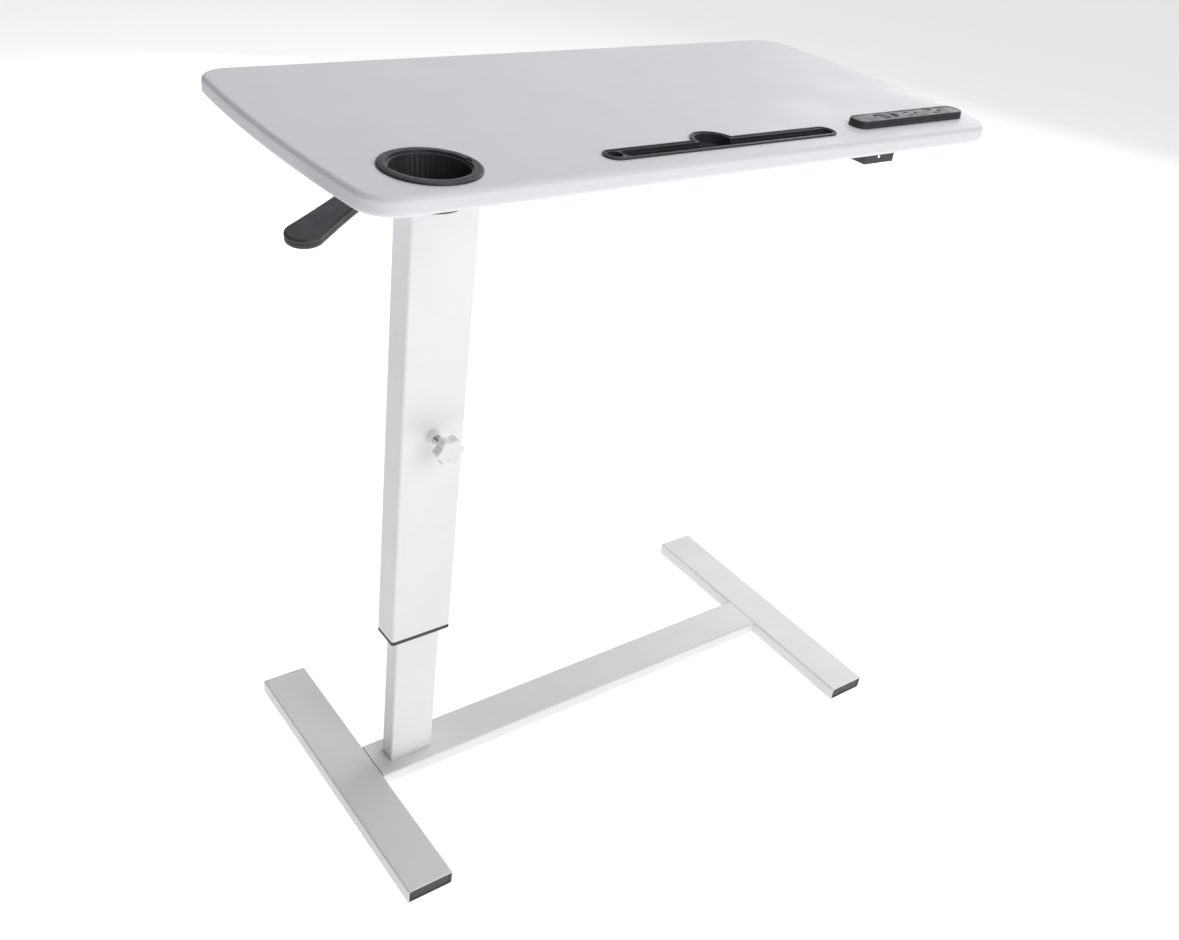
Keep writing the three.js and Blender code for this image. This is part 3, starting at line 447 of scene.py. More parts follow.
framePieces = {
    # node: finish, width of the broken edge
    "foot_left": ("white_powder_coat", 0.35), "foot_right": ("white_powder_coat", 0.35),
    "crossbar": ("white_powder_coat", 0.35), "inner_column": ("white_powder_coat", 0.35),
    "outer_column": ("white_powder_coat", 0.35), "mounting_plate": ("white_powder_coat", 0.5),
    "tongue_left": ("zinc_steel", 0.4), "tongue_right": ("zinc_steel", 0.4),
    "glide_left_front": ("rubber", 0.4), "glide_left_rear": ("rubber", 0.4),
    "glide_right_front": ("rubber", 0.4), "glide_right_rear": ("rubber", 0.4),
    "column_nut_block": ("zinc_steel", 0.4), "upper_guide": ("nylon", 0.4),
    "gas_spring_cylinder": ("dark_steel", 0.4), "gas_spring_rod": ("zinc_steel", 0.3),
    "rod_seat": ("zinc_steel", 0.4),
    "rod_nut_lower": ("dark_steel", 0.4), "rod_nut_upper": ("dark_steel", 0.4),
    "lower_bushing": ("black_plastic", 0.5), "release_pin": ("zinc_steel", 0.3),
    "rocker_switch": ("black_plastic", 0.5), "charging_port": ("black_plastic", 0.2),
    "outlet_1": ("black_plastic", 0.35), "outlet_2": ("black_plastic", 0.35),
    "strip_bracket": ("black_coat", 0.3), "lever_bracket": ("zinc_steel", 0.3),
    "lever_pin": ("dark_steel", 0.3), "lever_bar": ("zinc_steel", 0.4),
    "clamp_boss": ("white_powder_coat", 0.5), "clamp_pad": ("nylon", 0.3),
}


mergeDistance = 0.002 * mm
flatAngle = math.radians(0.4)


def pieceFromNode(node, slotName, edge):
    shape = bmesh.new()
    shape.from_mesh(frame["nodes"][node].data)
    bmesh.ops.remove_doubles(shape, verts=shape.verts, dist=mergeDistance)
    bmesh.ops.dissolve_limit(shape, angle_limit=flatAngle, verts=shape.verts, edges=shape.edges)
    mesh = bpy.data.meshes.new(node + "_fine")
    shape.to_mesh(mesh)
    shape.free()
    item = newObject(node + "_fine", mesh)
    finishPiece(item, slotName, frame["nodes"][node]["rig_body"], (node,), edge)


for node, (slotName, edge) in framePieces.items():
    pieceFromNode(node, slotName, edge)
print("frame pieces eased:", len(framePieces))

# tabletop: a long board with soft corners, short ends that swell a little, and rounded edges

board = {
    "corner": 35 * mm,
    "endBow": 10 * mm,
    "edge": 5 * mm,
    "cornerSteps": 22,
    "stripHoleEnds": 8 * mm,
    "stripHoleWidth": 18 * mm,
    "stripHoleCorner": 7 * mm,
}
fittingGap = 0.3 * mm
seatHeight = boardHigh.z + fittingGap


def boardOutline():
    length = boardHigh.x - boardLow.x
    half = (boardHigh.y - boardLow.y) / 2
    centreX = (boardHigh.x + boardLow.x) / 2
    bowRadius = (half * half + board["endBow"] ** 2) / (2 * board["endBow"])
    bowCentre = length / 2 - bowRadius
    cornerY = half - board["corner"]
    cornerX = bowCentre + math.sqrt((bowRadius - board["corner"]) ** 2 - cornerY ** 2)
    turn = math.atan2(cornerY, cornerX - bowCentre)
    quarter = math.pi / 2
    steps = board["cornerSteps"]
    points = arc(bowCentre, 0, bowRadius, -turn, turn, steps)
    points += arc(cornerX, cornerY, board["corner"], turn, quarter, steps)[1:]
    points += arc(-cornerX, cornerY, board["corner"], quarter, math.pi - turn, steps)
    points += arc(-bowCentre, 0, bowRadius, math.pi - turn, math.pi + turn, steps)[1:]
    points += arc(-cornerX, -cornerY, board["corner"], math.pi + turn, 3 * quarter, steps)[1:]
    points += arc(cornerX, -cornerY, board["corner"], 3 * quarter, 4 * quarter - turn, steps)[:-1]
    return [point + Vector((centreX, 0)) for point in points]


cup = {
    "wellRadius": 40.3 * mm,
    "flange": 46 * mm,
    "mouth": 37 * mm,
    "foot": 32 * mm,
    "ledge": 5 * mm,
    "ringGap": 1.9 * mm,
    "step": 1.4 * mm,
    "floor": 2.2 * mm,
    "stepDrop": 2.6 * mm,
    "ribs": 44,
    "ribWidth": 1.5 * mm,
    "notchWidth": 9 * mm,
    "notchReach": 4.4 * mm,
    "notchDrop": 1.1 * mm,
}

tray = {
    "inset": 3 * mm,
    "corner": 12.5 * mm,
    "wellRadius": 25 * mm,
    "lip": 2.1 * mm,
    "lipHeight": 0.9 * mm,
    "ledge": 2.4 * mm,
    "ledgeDrop": 4 * mm,
    "grooveWidth": 15 * mm,
    "floorDrop": 12 * mm,
    "penRadius": 7.3 * mm,
    "penInset": 12 * mm,
    "penGap": 3 * mm,
    "collarWall": 1.3 * mm,
    "endInset": 4.5 * mm,
    "ledgeCorner": 6 * mm,
    "grooveCorner": 4 * mm,
    "wellWall": 5 * mm,
    "wellShift": 8 * mm,
    "width": 26 * mm,
    "frontReach": 120 * mm,
}
trayLow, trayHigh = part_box("tablet_tray")
trayTop = trayHigh.z
trayLength = trayHigh.x - trayLow.x
trayX = (trayLow.x + trayHigh.x) / 2
trayY = trayLow.y + tray["width"] / 2
wellX = trayX - tray["wellShift"]
wellY = trayHigh.y - tray["wellRadius"]
stripLow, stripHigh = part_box("strip_housing")
stripX = (stripLow.x + stripHigh.x) / 2
stripY = (stripLow.y + stripHigh.y) / 2
cupX = middleOf("cup_insert").x
cupY = middleOf("cup_insert").y


# front bar of the tray with the round well swelling out behind it
def trayOutline(inset):
    halfX = trayLength / 2 - inset
    halfY = tray["width"] / 2 - inset
    corner = tray["corner"] - inset
    radius = tray["wellRadius"] - inset
    rise = trayY + halfY - wellY
    reach = math.sqrt(radius ** 2 - rise ** 2)
    start = math.atan2(rise, reach)
    quarter = math.pi / 2
    points = arc(trayX + halfX - corner, trayY + halfY - corner, corner, 0, quarter, 8)
    points += arc(wellX, wellY, radius, start, math.pi - start, 32)
    points += arc(trayX - halfX + corner, trayY + halfY - corner, corner, quarter, 2 * quarter, 8)
    points += arc(trayX - halfX + corner, trayY - halfY + corner, corner, 2 * quarter, 3 * quarter, 8)
    points += arc(trayX + halfX - corner, trayY - halfY + corner, corner, 3 * quarter, 4 * quarter, 8)
    return points


def through(name, outline):
    return loft(name, outline, [(0, boardLow.z - 2 * mm), (0, boardHigh.z + 12 * mm)])


def makeBoard():
    top = loft("tabletopBoard", boardOutline(), roundedSteps(boardLow.z, boardHigh.z, board["edge"], 7))
    stripHoleLength = stripHigh.x - stripLow.x - board["stripHoleEnds"]
    stripHole = roundedBox(
        (stripX, stripY), stripHoleLength, board["stripHoleWidth"], board["stripHoleCorner"])
    cutAway(top, [
        through("cupHole", circle(cup["wellRadius"], (cupX, cupY))),
        through("trayHole", trayOutline(tray["inset"] - fittingGap)),
        through("stripHole", stripHole),
    ])
    finishPiece(top, "white_board", "lift", ["tabletop"], 0.25)


makeBoard()
print("tabletop made")

# cup holder: a flanged ring, and a ribbed cup with two notches in its mouth that drops into it


def setNumber(modifier, tree, name, value):
    for item in tree.interface.items_tree:
        if item.item_type == "SOCKET" and item.in_out == "INPUT" and item.name == name:
            modifier[item.identifier] = value


# a tree with a geometry input, named number inputs and a geometry output
def newTree(name, numbers, wholeNumbers=()):
    tree = bpy.data.node_groups.new(name, "GeometryNodeTree")
    tree.interface.new_socket("Geometry", in_out="INPUT", socket_type="NodeSocketGeometry")
    for label in wholeNumbers:
        tree.interface.new_socket(label, in_out="INPUT", socket_type="NodeSocketInt")
    for label in numbers:
        tree.interface.new_socket(label, in_out="INPUT", socket_type="NodeSocketFloat")
    tree.interface.new_socket("Finish", in_out="INPUT", socket_type="NodeSocketMaterial")
    tree.interface.new_socket("Geometry", in_out="OUTPUT", socket_type="NodeSocketGeometry")
    return tree, tree.nodes.new("NodeGroupInput"), tree.nodes.new("NodeGroupOutput")


def endTree(tree, source, given, result):
    real = addNode(tree, "GeometryNodeRealizeInstances")
    paint = addNode(tree, "GeometryNodeSetMaterial")
    tree.links.new(source, real.inputs["Geometry"])
    tree.links.new(real.outputs["Geometry"], paint.inputs["Geometry"])
    tree.links.new(given.outputs["Finish"], paint.inputs["Material"])
    tree.links.new(paint.outputs["Geometry"], result.inputs["Geometry"])


def mathOf(tree, operation, first, second):
    item = addNode(tree, "ShaderNodeMath", {"operation": operation})
    for socket, value in zip(item.inputs, (first, second)):
        if isinstance(value, (int, float)):
            socket.default_value = value
        else:
            tree.links.new(value, socket)
    return item.outputs["Value"]


def raised(tree, source, height):
    shift = addNode(tree, "ShaderNodeCombineXYZ")
    tree.links.new(height, shift.inputs["Z"])
    move = addNode(tree, "GeometryNodeTransform")
    tree.links.new(source, move.inputs["Geometry"])
    tree.links.new(shift.outputs["Vector"], move.inputs["Translation"])
    return move.outputs["Geometry"]


def ribTree():
    numbers = ["Radius", "Lean", "Rib Width", "Rib Height"]
    tree, given, result = newTree("leaningRibs", numbers, ["Count"])
    link = tree.links.new
    ring = addNode(tree, "GeometryNodeMeshCircle")
    link(given.outputs["Count"], ring.inputs["Vertices"])
    link(given.outputs["Radius"], ring.inputs["Radius"])
    rib = addNode(tree, "GeometryNodeMeshCylinder", None, {"Vertices": 8})
    link(mathOf(tree, "DIVIDE", given.outputs["Rib Width"], 2), rib.inputs["Radius"])
    link(given.outputs["Rib Height"], rib.inputs["Depth"])
    angle = mathOf(tree, "DIVIDE", 2 * math.pi, given.outputs["Count"])
    spin = addNode(tree, "ShaderNodeCombineXYZ")
    index = addNode(tree, "GeometryNodeInputIndex")
    link(mathOf(tree, "MULTIPLY", index.outputs["Index"], angle), spin.inputs["Z"])
    link(given.outputs["Lean"], spin.inputs["Y"])
    copies = addNode(tree, "GeometryNodeInstanceOnPoints")
    link(ring.outputs["Mesh"], copies.inputs["Points"])
    link(rib.outputs["Mesh"], copies.inputs["Instance"])
    link(spin.outputs["Vector"], copies.inputs["Rotation"])
    endTree(tree, copies.outputs["Instances"], given, result)
    return tree


# runs a tree on some points and hands back a plain mesh object
def grow(name, tree, points, numbers, slotName):
    mesh = bpy.data.meshes.new(name)
    mesh.from_pydata([tuple(point) for point in points], [], [])
    item = newObject(name, mesh)
    modifier = item.modifiers.new("grow", "NODES")
    modifier.node_group = tree
    for label, value in numbers.items():
        setNumber(modifier, tree, label, value)
    setNumber(modifier, tree, "Finish", paints[slotName])
    return settle(item)


def makeCupHolder():
    low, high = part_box("cup_ring")
    top = high.z
    seat = cup["mouth"] + cup["ledge"]
    bore = cup["mouth"] + cup["ringGap"]
    collar = cup["wellRadius"] - fittingGap
    ring = turned("cupRing", [
        (bore, low.z), (collar, low.z), (collar, seatHeight),
        (cup["flange"] - 0.3 * mm, seatHeight), (cup["flange"], boardHigh.z + 0.7 * mm),
        (cup["flange"] - 0.2 * mm, top - 1.4 * mm), (cup["flange"] - 0.7 * mm, top - 0.9 * mm),
        (cup["flange"] - 1.6 * mm, top - 0.5 * mm), (seat + 0.3 * mm, top - 0.1 * mm),
        (seat, top - 0.3 * mm), (seat, top - 1.5 * mm), (bore, top - 1.5 * mm),
    ], (cupX, cupY), 128, True)
    notches = []
    for side in (-1, 1):
        spot = (cupX + side * (cup["mouth"] + 0.6 * mm), cupY)
        outline = roundedBox(spot, cup["notchReach"], cup["notchWidth"], 1.4 * mm, 4)
        notches.append(loft("notch", outline, [(0, top - cup["notchDrop"]), (0, top + 2 * mm)]))
    finishPiece(ring, "black_plastic", "lift", ["cup_ring"])

    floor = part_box("cup_insert")[0].z
    drop = cup["stepDrop"]
    slope = (cup["mouth"] - cup["foot"]) / (top - floor)
    inner = cup["mouth"] - cup["step"]
    wellBottom = floor + cup["floor"]
    insert = turned("cupInsert", [
        (0, floor + 0.6 * mm), (cup["foot"] - 5 * mm, floor + 0.6 * mm), (cup["foot"] - 4 * mm, floor),
        (cup["foot"] - 0.6 * mm, floor), (cup["foot"] + 0.8 * mm, floor + 1.2 * mm),
        (cup["mouth"] + 1.2 * mm, top - 1.4 * mm), (seat - 0.4 * mm, top - 1.4 * mm),
        (seat - 0.15 * mm, top - 0.3 * mm), (seat - 0.4 * mm, top), (cup["mouth"] + 1 * mm, top),
        (cup["mouth"] + 0.2 * mm, top - 0.4 * mm), (cup["mouth"], top - 1.2 * mm),
        (cup["mouth"] - 0.2 * mm, top - drop), (inner, top - drop - 0.6 * mm),
        (inner - slope * (top - drop - wellBottom), wellBottom + 1.5 * mm),
        (inner - slope * (top - drop - wellBottom) - 1.5 * mm, wellBottom), (0, wellBottom),
    ], (cupX, cupY), 128)
    cutAway(insert, notches)
    finishPiece(insert, "black_plastic", "lift", ["cup_insert"])

    height = top - drop - wellBottom - 3 * mm
    middle = wellBottom + 1.5 * mm + height / 2
    radius = inner - slope * (top - drop - middle) + 0.1 * mm
    numbers = {"Count": cup["ribs"], "Radius": radius, "Lean": math.atan(slope),
               "Rib Width": cup["ribWidth"], "Rib Height": height}
    ribs = grow("cupRibs", ribTree(), [], numbers, "black_plastic")
    ribs.data.transform(Matrix.Translation((cupX, cupY, middle)))
    finishPiece(ribs, "black_plastic", "lift")


makeCupHolder()
print("cup holder made")

# tablet tray: raised lip, stepped groove, pen hole in its own collar, and a round well


def makeTray():
    lipFloor = trayTop - tray["lipHeight"]
    deepFloor = trayTop - tray["floorDrop"]
    base = trayLow.z
    body = loft("tabletTray", trayOutline(0), [
        (tray["inset"], base), (tray["inset"], seatHeight), (0.25 * mm, seatHeight),
        (0, seatHeight + 0.3 * mm),
        (0.05 * mm, trayTop - 0.6 * mm), (0.3 * mm, trayTop - 0.15 * mm), (0.8 * mm, trayTop),
    ])
    penX = trayLow.x + tray["penInset"]
    grooveStart = penX + tray["penRadius"] + tray["penGap"]
    grooveEnd = trayHigh.x - tray["endInset"]
    grooveMiddle = ((grooveStart + grooveEnd) / 2, trayY)
    grooveLength = grooveEnd - grooveStart
    ledgeFloor = trayTop - tray["ledgeDrop"]
    shallow = roundedBox(grooveMiddle, grooveLength, tray["grooveWidth"], tray["ledgeCorner"])
    deepWidth = tray["grooveWidth"] - 2 * tray["ledge"]
    deepLength = grooveLength - 2 * tray["ledge"]
    deep = roundedBox(grooveMiddle, deepLength, deepWidth, tray["grooveCorner"])
    wellInside = tray["wellRadius"] - tray["wellWall"]
    above = trayTop + 4 * mm
    recess = loft("lipRecess", trayOutline(tray["lip"]), [
        (0.4 * mm, lipFloor), (0, lipFloor + 0.4 * mm), (0, above)])
    cutAway(body, [recess])
    collar = loft("penCollar", circle(tray["penRadius"] + tray["collarWall"], (penX, trayY), 64), [
        (0, base + 1 * mm), (0, trayTop - 0.4 * mm), (0.3 * mm, trayTop - 0.1 * mm)])
    weldOn(body, [collar])
    cutAway(body, [
        loft("shallowGroove", shallow, [(0, ledgeFloor), (0, above)]),
        loft("deepGroove", deep, [(0.4 * mm, deepFloor), (0, deepFloor + 0.8 * mm), (0, above)]),
        loft("penHole", circle(tray["penRadius"], (penX, trayY), 64), [(0, deepFloor), (0, above)]),
    ])
    frontReach = tray["frontReach"]
    frontMiddle = (trayX, trayY - tray["grooveWidth"] / 2 - frontReach / 2)
    frontCut = roundedBox(frontMiddle, trayLength, frontReach, 2 * mm, 2)
    well = loft("roundWell", circle(wellInside, (wellX, wellY)), [
        (1.5 * mm, deepFloor), (0, deepFloor + 1.5 * mm), (0, above)])
    cutAway(well, [loft("wellFront", frontCut, [(0, deepFloor - 5 * mm), (0, above + 5 * mm)])])
    cutAway(body, [well])
    finishPiece(body, "black_plastic", "lift", ["tablet_tray"], 0.2)


makeTray()
print("tray made")

# power strip: a low housing with a parting line, a sunk top panel, and pockets for what it carries

strip = {
    "corner": 11 * mm,
    "partingLine": 4.2 * mm,
    "lineWidth": 0.5 * mm,
    "lineDepth": 0.5 * mm,
    "panelInset": 2.6 * mm,
    "panelDrop": 0.35 * mm,
    "wallInset": 0.5 * mm,
    # node: room round it and depth of its pocket, in mm
    "pockets": {
        "rocker_switch": (0.8, 9), "charging_port": (0.35, 9.5),
        "outlet_1": (0.35, 9.5), "outlet_2": (0.35, 9.5),
    },
}


def makeStrip():
    top = stripHigh.z
    line = seatHeight + strip["partingLine"]
    lineTop = line + strip["lineWidth"]
    inset = strip["wallInset"]
    outline = roundedBox(
        (stripX, stripY), stripHigh.x - stripLow.x, stripHigh.y - stripLow.y, strip["corner"], 14)
    housing = loft("stripHousing", outline, [
        (4 * mm, stripLow.z), (4 * mm, seatHeight), (0.3 * mm, seatHeight), (0, seatHeight + 0.4 * mm),
        (0.3 * mm, line - 0.2 * mm),
        (inset, line), (inset + strip["lineDepth"], line), (inset + strip["lineDepth"], lineTop),
        (inset, lineTop), (0.6 * mm, top - 1.4 * mm), (0.9 * mm, top - 0.7 * mm), (1.4 * mm, top - 0.2 * mm),
        (2.1 * mm, top),
    ])
    above = top + 4 * mm
    panel = loft("panelRecess", outline, [
        (strip["panelInset"], top - strip["panelDrop"]), (strip["panelInset"], above)])
    cutAway(housing, [panel])
    pockets = []
    for node, (room, depth) in strip["pockets"].items():
        low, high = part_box(node)
        width = high.x - low.x + 2 * room * mm
        breadth = high.y - low.y + 2 * room * mm
        pocket = roundedBox(((low.x + high.x) / 2, stripY), width, breadth, 0.9 * mm, 4)
        pockets.append(loft("pocket", pocket, [(0, top - depth * mm), (0, above)]))
    cutAway(housing, pockets)
    finishPiece(housing, "black_plastic", "lift", ["strip_housing"], 0.18)


makeStrip()
print("power strip made")

# release paddle: a flat grip that droops from its bar, with a rounded edge and a seam round it

paddle = {
    "start": 150 * mm,
    "startHeight": 822 * mm,
    "reach": 246 * mm,
    "turn": 31,             # degrees from -X towards the front
    "droop": 8,
    "thickness": 9 * mm,
    "rootHalf": 13 * mm,
    "tipHalf": 17 * mm,
    "seam": 0.45 * mm,
    "edge": 2.2 * mm,
    "corner": 5 * mm,
    "waist": 0.5 * mm,
}


def curveThrough(start, bend, end, count):
    points = []
    for index in range(1, count + 1):
        t = index / count
        points.append(start * (1 - t) ** 2 + bend * 2 * t * (1 - t) + end * t ** 2)
    return points


def paddleOutline():
    root = paddle["rootHalf"]
    tip = paddle["tipHalf"]
    corner = paddle["corner"]
    centre = paddle["reach"] - paddle["start"] - tip
    waist = root + paddle["waist"]
    points = [Vector((0, corner - root))]
    points += curveThrough(points[-1], Vector((0, -root)), Vector((corner, -root)), 8)
    points += curveThrough(points[-1], Vector((centre / 2, -waist)), Vector((centre, -tip)), 16)
    points += arc(centre, 0, tip, -math.pi / 2, math.pi / 2, 28)[1:]
    points += curveThrough(points[-1], Vector((centre / 2, waist)), Vector((corner, root)), 16)
    points += curveThrough(points[-1], Vector((0, root)), Vector((0, root - corner)), 8)
    return points


def makePaddle():
    half = paddle["thickness"] / 2
    edge = paddle["edge"]
    seam = paddle["seam"]
    steps = [step for step in roundedSteps(-half, half, edge, 7) if step[1] < -seam]
    steps += [(0, -seam), (seam, -seam / 2), (seam, seam / 2), (0, seam)]
    steps += [step for step in roundedSteps(-half, half, edge, 7) if step[1] > seam]
    place = (
        Matrix.Translation((columnX, 0, 0))
        @ Matrix.Rotation(math.radians(180 + paddle["turn"]), 4, "Z")
        @ Matrix.Translation((paddle["start"] + 1 * mm, 0, paddle["startHeight"]))
        @ Matrix.Rotation(math.radians(paddle["droop"]), 4, "Y")
    )
    grip = loft("leverPaddle", paddleOutline(), steps, place)
    finishPiece(grip, "black_plastic", "lever", ["lever_paddle"])


makePaddle()
print("paddle made")

# clamp: a six-lobed knob with a shallow dish, on a threaded stud, and the weld round its boss

clamp = {
    "lobes": 6,
    "outer": 17.5 * mm,
    "wave": 1.7 * mm,
    "hub": 9 * mm,
    "threadPitch": 1.25 * mm,
    "threadDepth": 0.55 * mm,
    "weldRipples": 26,
    "bead": 1.0,            # radius of the weld bead in mm
    "ripple": 0.16,         # how far its ripples rise and fall, in mm
    "step": 6 * mm,
    "ease": 2.4 * mm,
    "dish": 10.5 * mm,
    "bore": 4.3 * mm,
}


def alongFront(height):
    return Matrix.Translation((columnX, 0, height)) @ Matrix.Rotation(math.radians(90), 4, "X")


def makeKnob():
    low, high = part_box("clamp_knob")
    height = (low.z + high.z) / 2
    turn = alongFront(height)
    outline = []
    steps = clamp["lobes"] * 20
    for index in range(steps):
        angle = 2 * math.pi * index / steps
        radius = clamp["outer"] - clamp["wave"] * (1 - math.cos(clamp["lobes"] * angle))
        outline.append(Vector((radius * math.cos(angle), radius * math.sin(angle))))
    front = -low.y
    back = -high.y + clamp["step"]
    star = loft("clampKnob", outline, roundedSteps(back, front, clamp["ease"], 6), turn)
    hub = loft("knobHub", circle(clamp["hub"], count=64), [
        (0.5 * mm, -high.y), (0, -high.y + 0.5 * mm), (0, back + 2 * mm)], turn)
    weldOn(star, [hub])
    dish = loft("shallowDish", circle(clamp["dish"], count=64), [
        (3 * mm, front - 0.5 * mm), (1.4 * mm, front - 0.35 * mm), (0, front), (0, front + 1 * mm)], turn)
    bore = loft("studBore", circle(clamp["bore"], count=48), [
        (0, -high.y - 2 * mm), (0, -high.y + 7 * mm)], turn)
    cutAway(star, [dish, bore])
    finishPiece(star, "white_plastic", "knob", ["clamp_knob"], 0.2)


def makeStud():
    low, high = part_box("clamp_stud")
    turn = alongFront((low.z + high.z) / 2)
    radius = (high.z - low.z) / 2
    start = -high.y
    end = -low.y
    steps = [(1.2 * mm, start), (0.4 * mm, start + 0.8 * mm)]
    turns = int((end - start - 2 * mm) / clamp["threadPitch"])
    for index in range(turns):
        base = start + 1 * mm + index * clamp["threadPitch"]
        steps.append((clamp["threadDepth"], base))
        steps.append((0, base + clamp["threadPitch"] / 2))
    steps.append((clamp["threadDepth"], end))
    stud = loft("clampStud", circle(radius, count=32), steps, turn)
    finishPiece(stud, "zinc_steel", "knob", ["clamp_stud"])


def makeWeld():
    low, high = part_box("clamp_boss")
    centre = (low + high) / 2
    ring = (high.z - low.z) / 2
    shape = bmesh.new()
    around = clamp["weldRipples"] * 6
    across = 8
    rows = []
    for index in range(around):
        angle = 2 * math.pi * index / around
        bead = (clamp["bead"] + clamp["ripple"] * math.sin(clamp["weldRipples"] * angle)) * mm
        row = []
        for step in range(across):
            part = 2 * math.pi * step / across
            radius = ring + bead * math.cos(part)
            place = (centre.x + radius * math.cos(angle), high.y - bead * math.sin(part) - 1.1 * mm,
                     centre.z + radius * math.sin(angle))
            row.append(shape.verts.new(place))
        rows.append(row)
    for index, row in enumerate(rows):
        nextRow = rows[(index + 1) % around]
        for step in range(across):
            after = (step + 1) % across
            shape.faces.new((row[step], row[after], nextRow[after], nextRow[step]))
    finishPiece(objectFrom("bossWeld", shape), "white_powder_coat", "lift")


makeKnob()
makeStud()
makeWeld()
print("clamp made")

# end caps: black plugs in the foot tubes, with a sunk face inside a narrow frame

endCap = {
    "frame": 1.6 * mm,
    "sink": 0.7 * mm,
    "corner": 1.8 * mm,
    "faceCorner": 1 * mm,
    "edge": 0.45 * mm,
}


def makeEndCap(side, end):
    node = "end_cap_" + side + "_" + end
    low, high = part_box(node)
    centre = (low + high) / 2
    outward = -1 if end == "front" else 1
    length = high.y - low.y
    width = high.x - low.x
    height = high.z - low.z
    turn = Matrix.Translation(centre) @ Matrix.Rotation(math.radians(-90 * outward), 4, "X")
    outline = roundedBox((0, 0), width, height, endCap["corner"], 6)
    steps = roundedSteps(-length / 2, length / 2, endCap["edge"], 3)
    plug = loft("endCap_" + side + "_" + end, outline, steps, turn)
    frameWidth = 2 * endCap["frame"]
    inside = roundedBox((0, 0), width - frameWidth, height - frameWidth, endCap["faceCorner"], 6)
    sunk = loft("sunkFace", inside, [
        (0.3 * mm, length / 2 - endCap["sink"]), (0, length / 2 + 1 * mm)], turn)
    cutAway(plug, [sunk])
    finishPiece(plug, "black_plastic", "base", [node], 0.2)


for side in ("left", "right"):
    for end in ("front", "rear"):
        makeEndCap(side, end)
print("end caps made")

# screws: one tree makes every head, socket and shank from the points where they stand


screwShape = {
    "chamfer": 0.3,         # part of the head's height
    "topRadius": 0.86,      # part of the head's radius, where the chamfer ends
    "socketLift": 0.2,      # part of half the head's height
    "shankOverlap": 0.2 * mm,
}


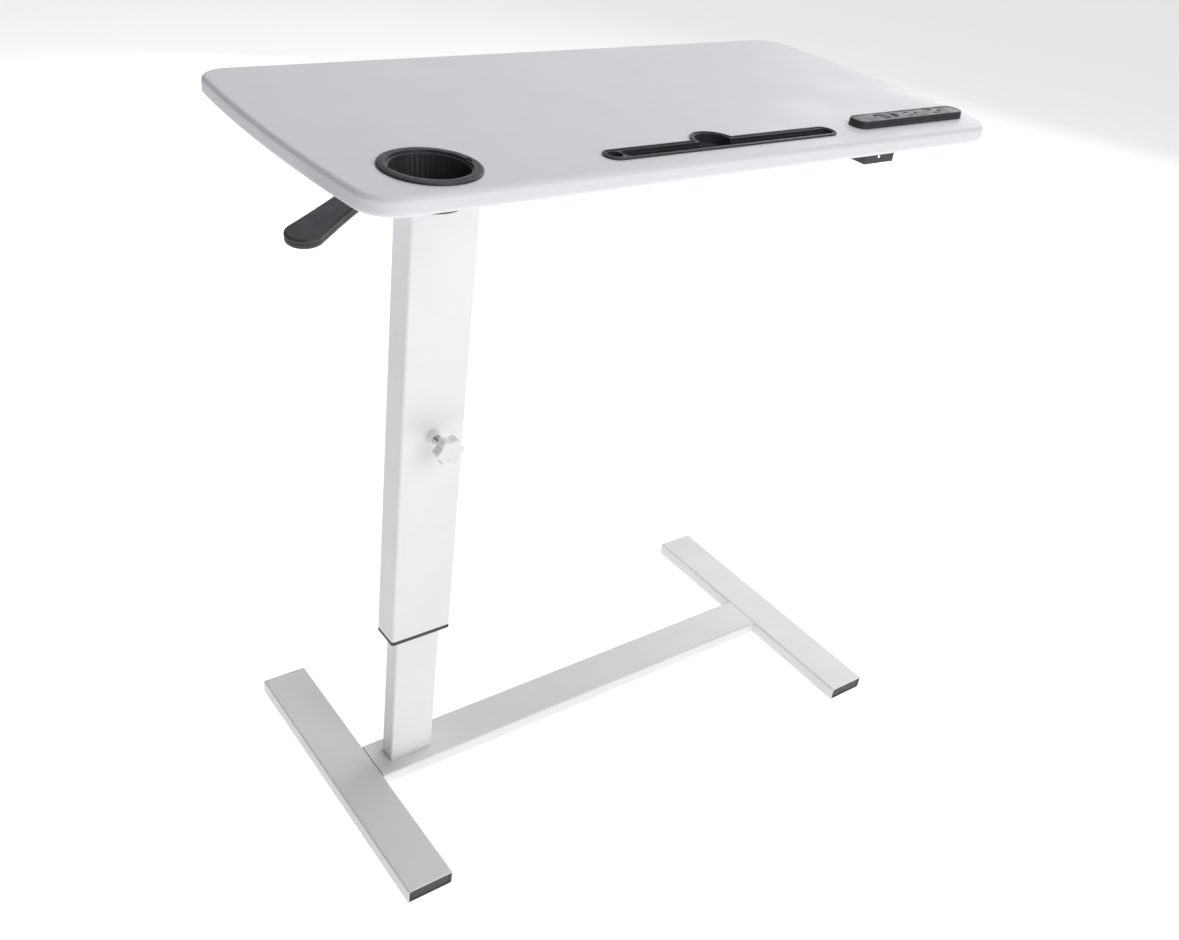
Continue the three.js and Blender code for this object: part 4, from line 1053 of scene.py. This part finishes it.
def screwTree():
    numbers = ["Head Radius", "Head Height", "Shank Radius", "Shank Length", "Socket Radius"]
    tree, given, result = newTree("standingScrews", numbers)
    link = tree.links.new
    headHeight = given.outputs["Head Height"]
    half = mathOf(tree, "DIVIDE", headHeight, 2)
    chamfer = mathOf(tree, "MULTIPLY", headHeight, screwShape["chamfer"])
    skirt = addNode(tree, "GeometryNodeMeshCone", None, {"Vertices": 32})
    topRadius = mathOf(tree, "MULTIPLY", given.outputs["Head Radius"], screwShape["topRadius"])
    link(topRadius, skirt.inputs["Radius Top"])
    link(given.outputs["Head Radius"], skirt.inputs["Radius Bottom"])
    link(chamfer, skirt.inputs["Depth"])
    flip = addNode(tree, "GeometryNodeTransform", None, {"Rotation": (math.pi, 0, 0)})
    link(skirt.outputs["Mesh"], flip.inputs["Geometry"])
    rim = addNode(tree, "GeometryNodeMeshCylinder", None, {"Vertices": 32})
    link(given.outputs["Head Radius"], rim.inputs["Radius"])
    link(mathOf(tree, "SUBTRACT", headHeight, chamfer), rim.inputs["Depth"])
    rimMiddle = mathOf(tree, "DIVIDE", mathOf(tree, "ADD", headHeight, chamfer), 2)
    socket = addNode(tree, "GeometryNodeMeshCylinder", None, {"Vertices": 6})
    link(given.outputs["Socket Radius"], socket.inputs["Radius"])
    link(headHeight, socket.inputs["Depth"])
    shank = addNode(tree, "GeometryNodeMeshCylinder", None, {"Vertices": 24})
    link(given.outputs["Shank Radius"], shank.inputs["Radius"])
    link(given.outputs["Shank Length"], shank.inputs["Depth"])
    shankMiddle = mathOf(tree, "ADD", headHeight, mathOf(tree, "DIVIDE", given.outputs["Shank Length"], 2))
    head = addNode(tree, "GeometryNodeMeshBoolean", {"operation": "UNION"})
    link(raised(tree, flip.outputs["Geometry"], chamfer), head.inputs["Mesh 2"])
    link(raised(tree, rim.outputs["Mesh"], rimMiddle), head.inputs["Mesh 2"])
    shankPlace = mathOf(tree, "SUBTRACT", shankMiddle, screwShape["shankOverlap"])
    link(raised(tree, shank.outputs["Mesh"], shankPlace), head.inputs["Mesh 2"])
    cut = addNode(tree, "GeometryNodeMeshBoolean", {"operation": "DIFFERENCE"})
    link(head.outputs["Mesh"], cut.inputs["Mesh 1"])
    socketPlace = mathOf(tree, "MULTIPLY", half, screwShape["socketLift"])
    link(raised(tree, socket.outputs["Mesh"], socketPlace), cut.inputs["Mesh 2"])
    copies = addNode(tree, "GeometryNodeInstanceOnPoints")
    link(given.outputs["Geometry"], copies.inputs["Points"])
    link(cut.outputs["Mesh"], copies.inputs["Instance"])
    endTree(tree, copies.outputs["Instances"], given, result)
    return tree


screwSets = {
    # body, nodes, then head radius, head height, shank radius and socket radius in mm
    "boardScrews": ("lift", ["board_screw_1", "board_screw_2", "board_screw_3", "board_screw_4"],
                    5, 3, 2.5, 2.2),
    "bracketScrews": ("lift", ["bracket_screw_1", "bracket_screw_2"], 3.8, 2.2, 2, 1.7),
    "columnBolts": ("base", ["column_bolt_1", "column_bolt_2"], 6.5, 8, 4, 3.4),
    "tongueScrews": ("base", ["tongue_screw_left_foot", "tongue_screw_left_bar", "tongue_screw_right_foot",
                              "tongue_screw_right_bar"], 5.5, 1.4, 2.8, 2.4),
}


def makeScrews():
    tree = screwTree()
    for name, (bodyName, nodes, headRadius, headHeight, shankRadius, socketRadius) in screwSets.items():
        points = []
        for node in nodes:
            low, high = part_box(node)
            points.append(Vector(((low.x + high.x) / 2, (low.y + high.y) / 2, low.z)))
        tall = high.z - low.z
        numbers = {
            "Head Radius": headRadius * mm, "Head Height": headHeight * mm, "Shank Radius": shankRadius * mm,
            "Shank Length": tall - headHeight * mm, "Socket Radius": socketRadius * mm,
        }
        screws = grow(name, tree, points, numbers, "dark_steel")
        finishPiece(screws, "dark_steel", bodyName, nodes)


makeScrews()
print("screws made")
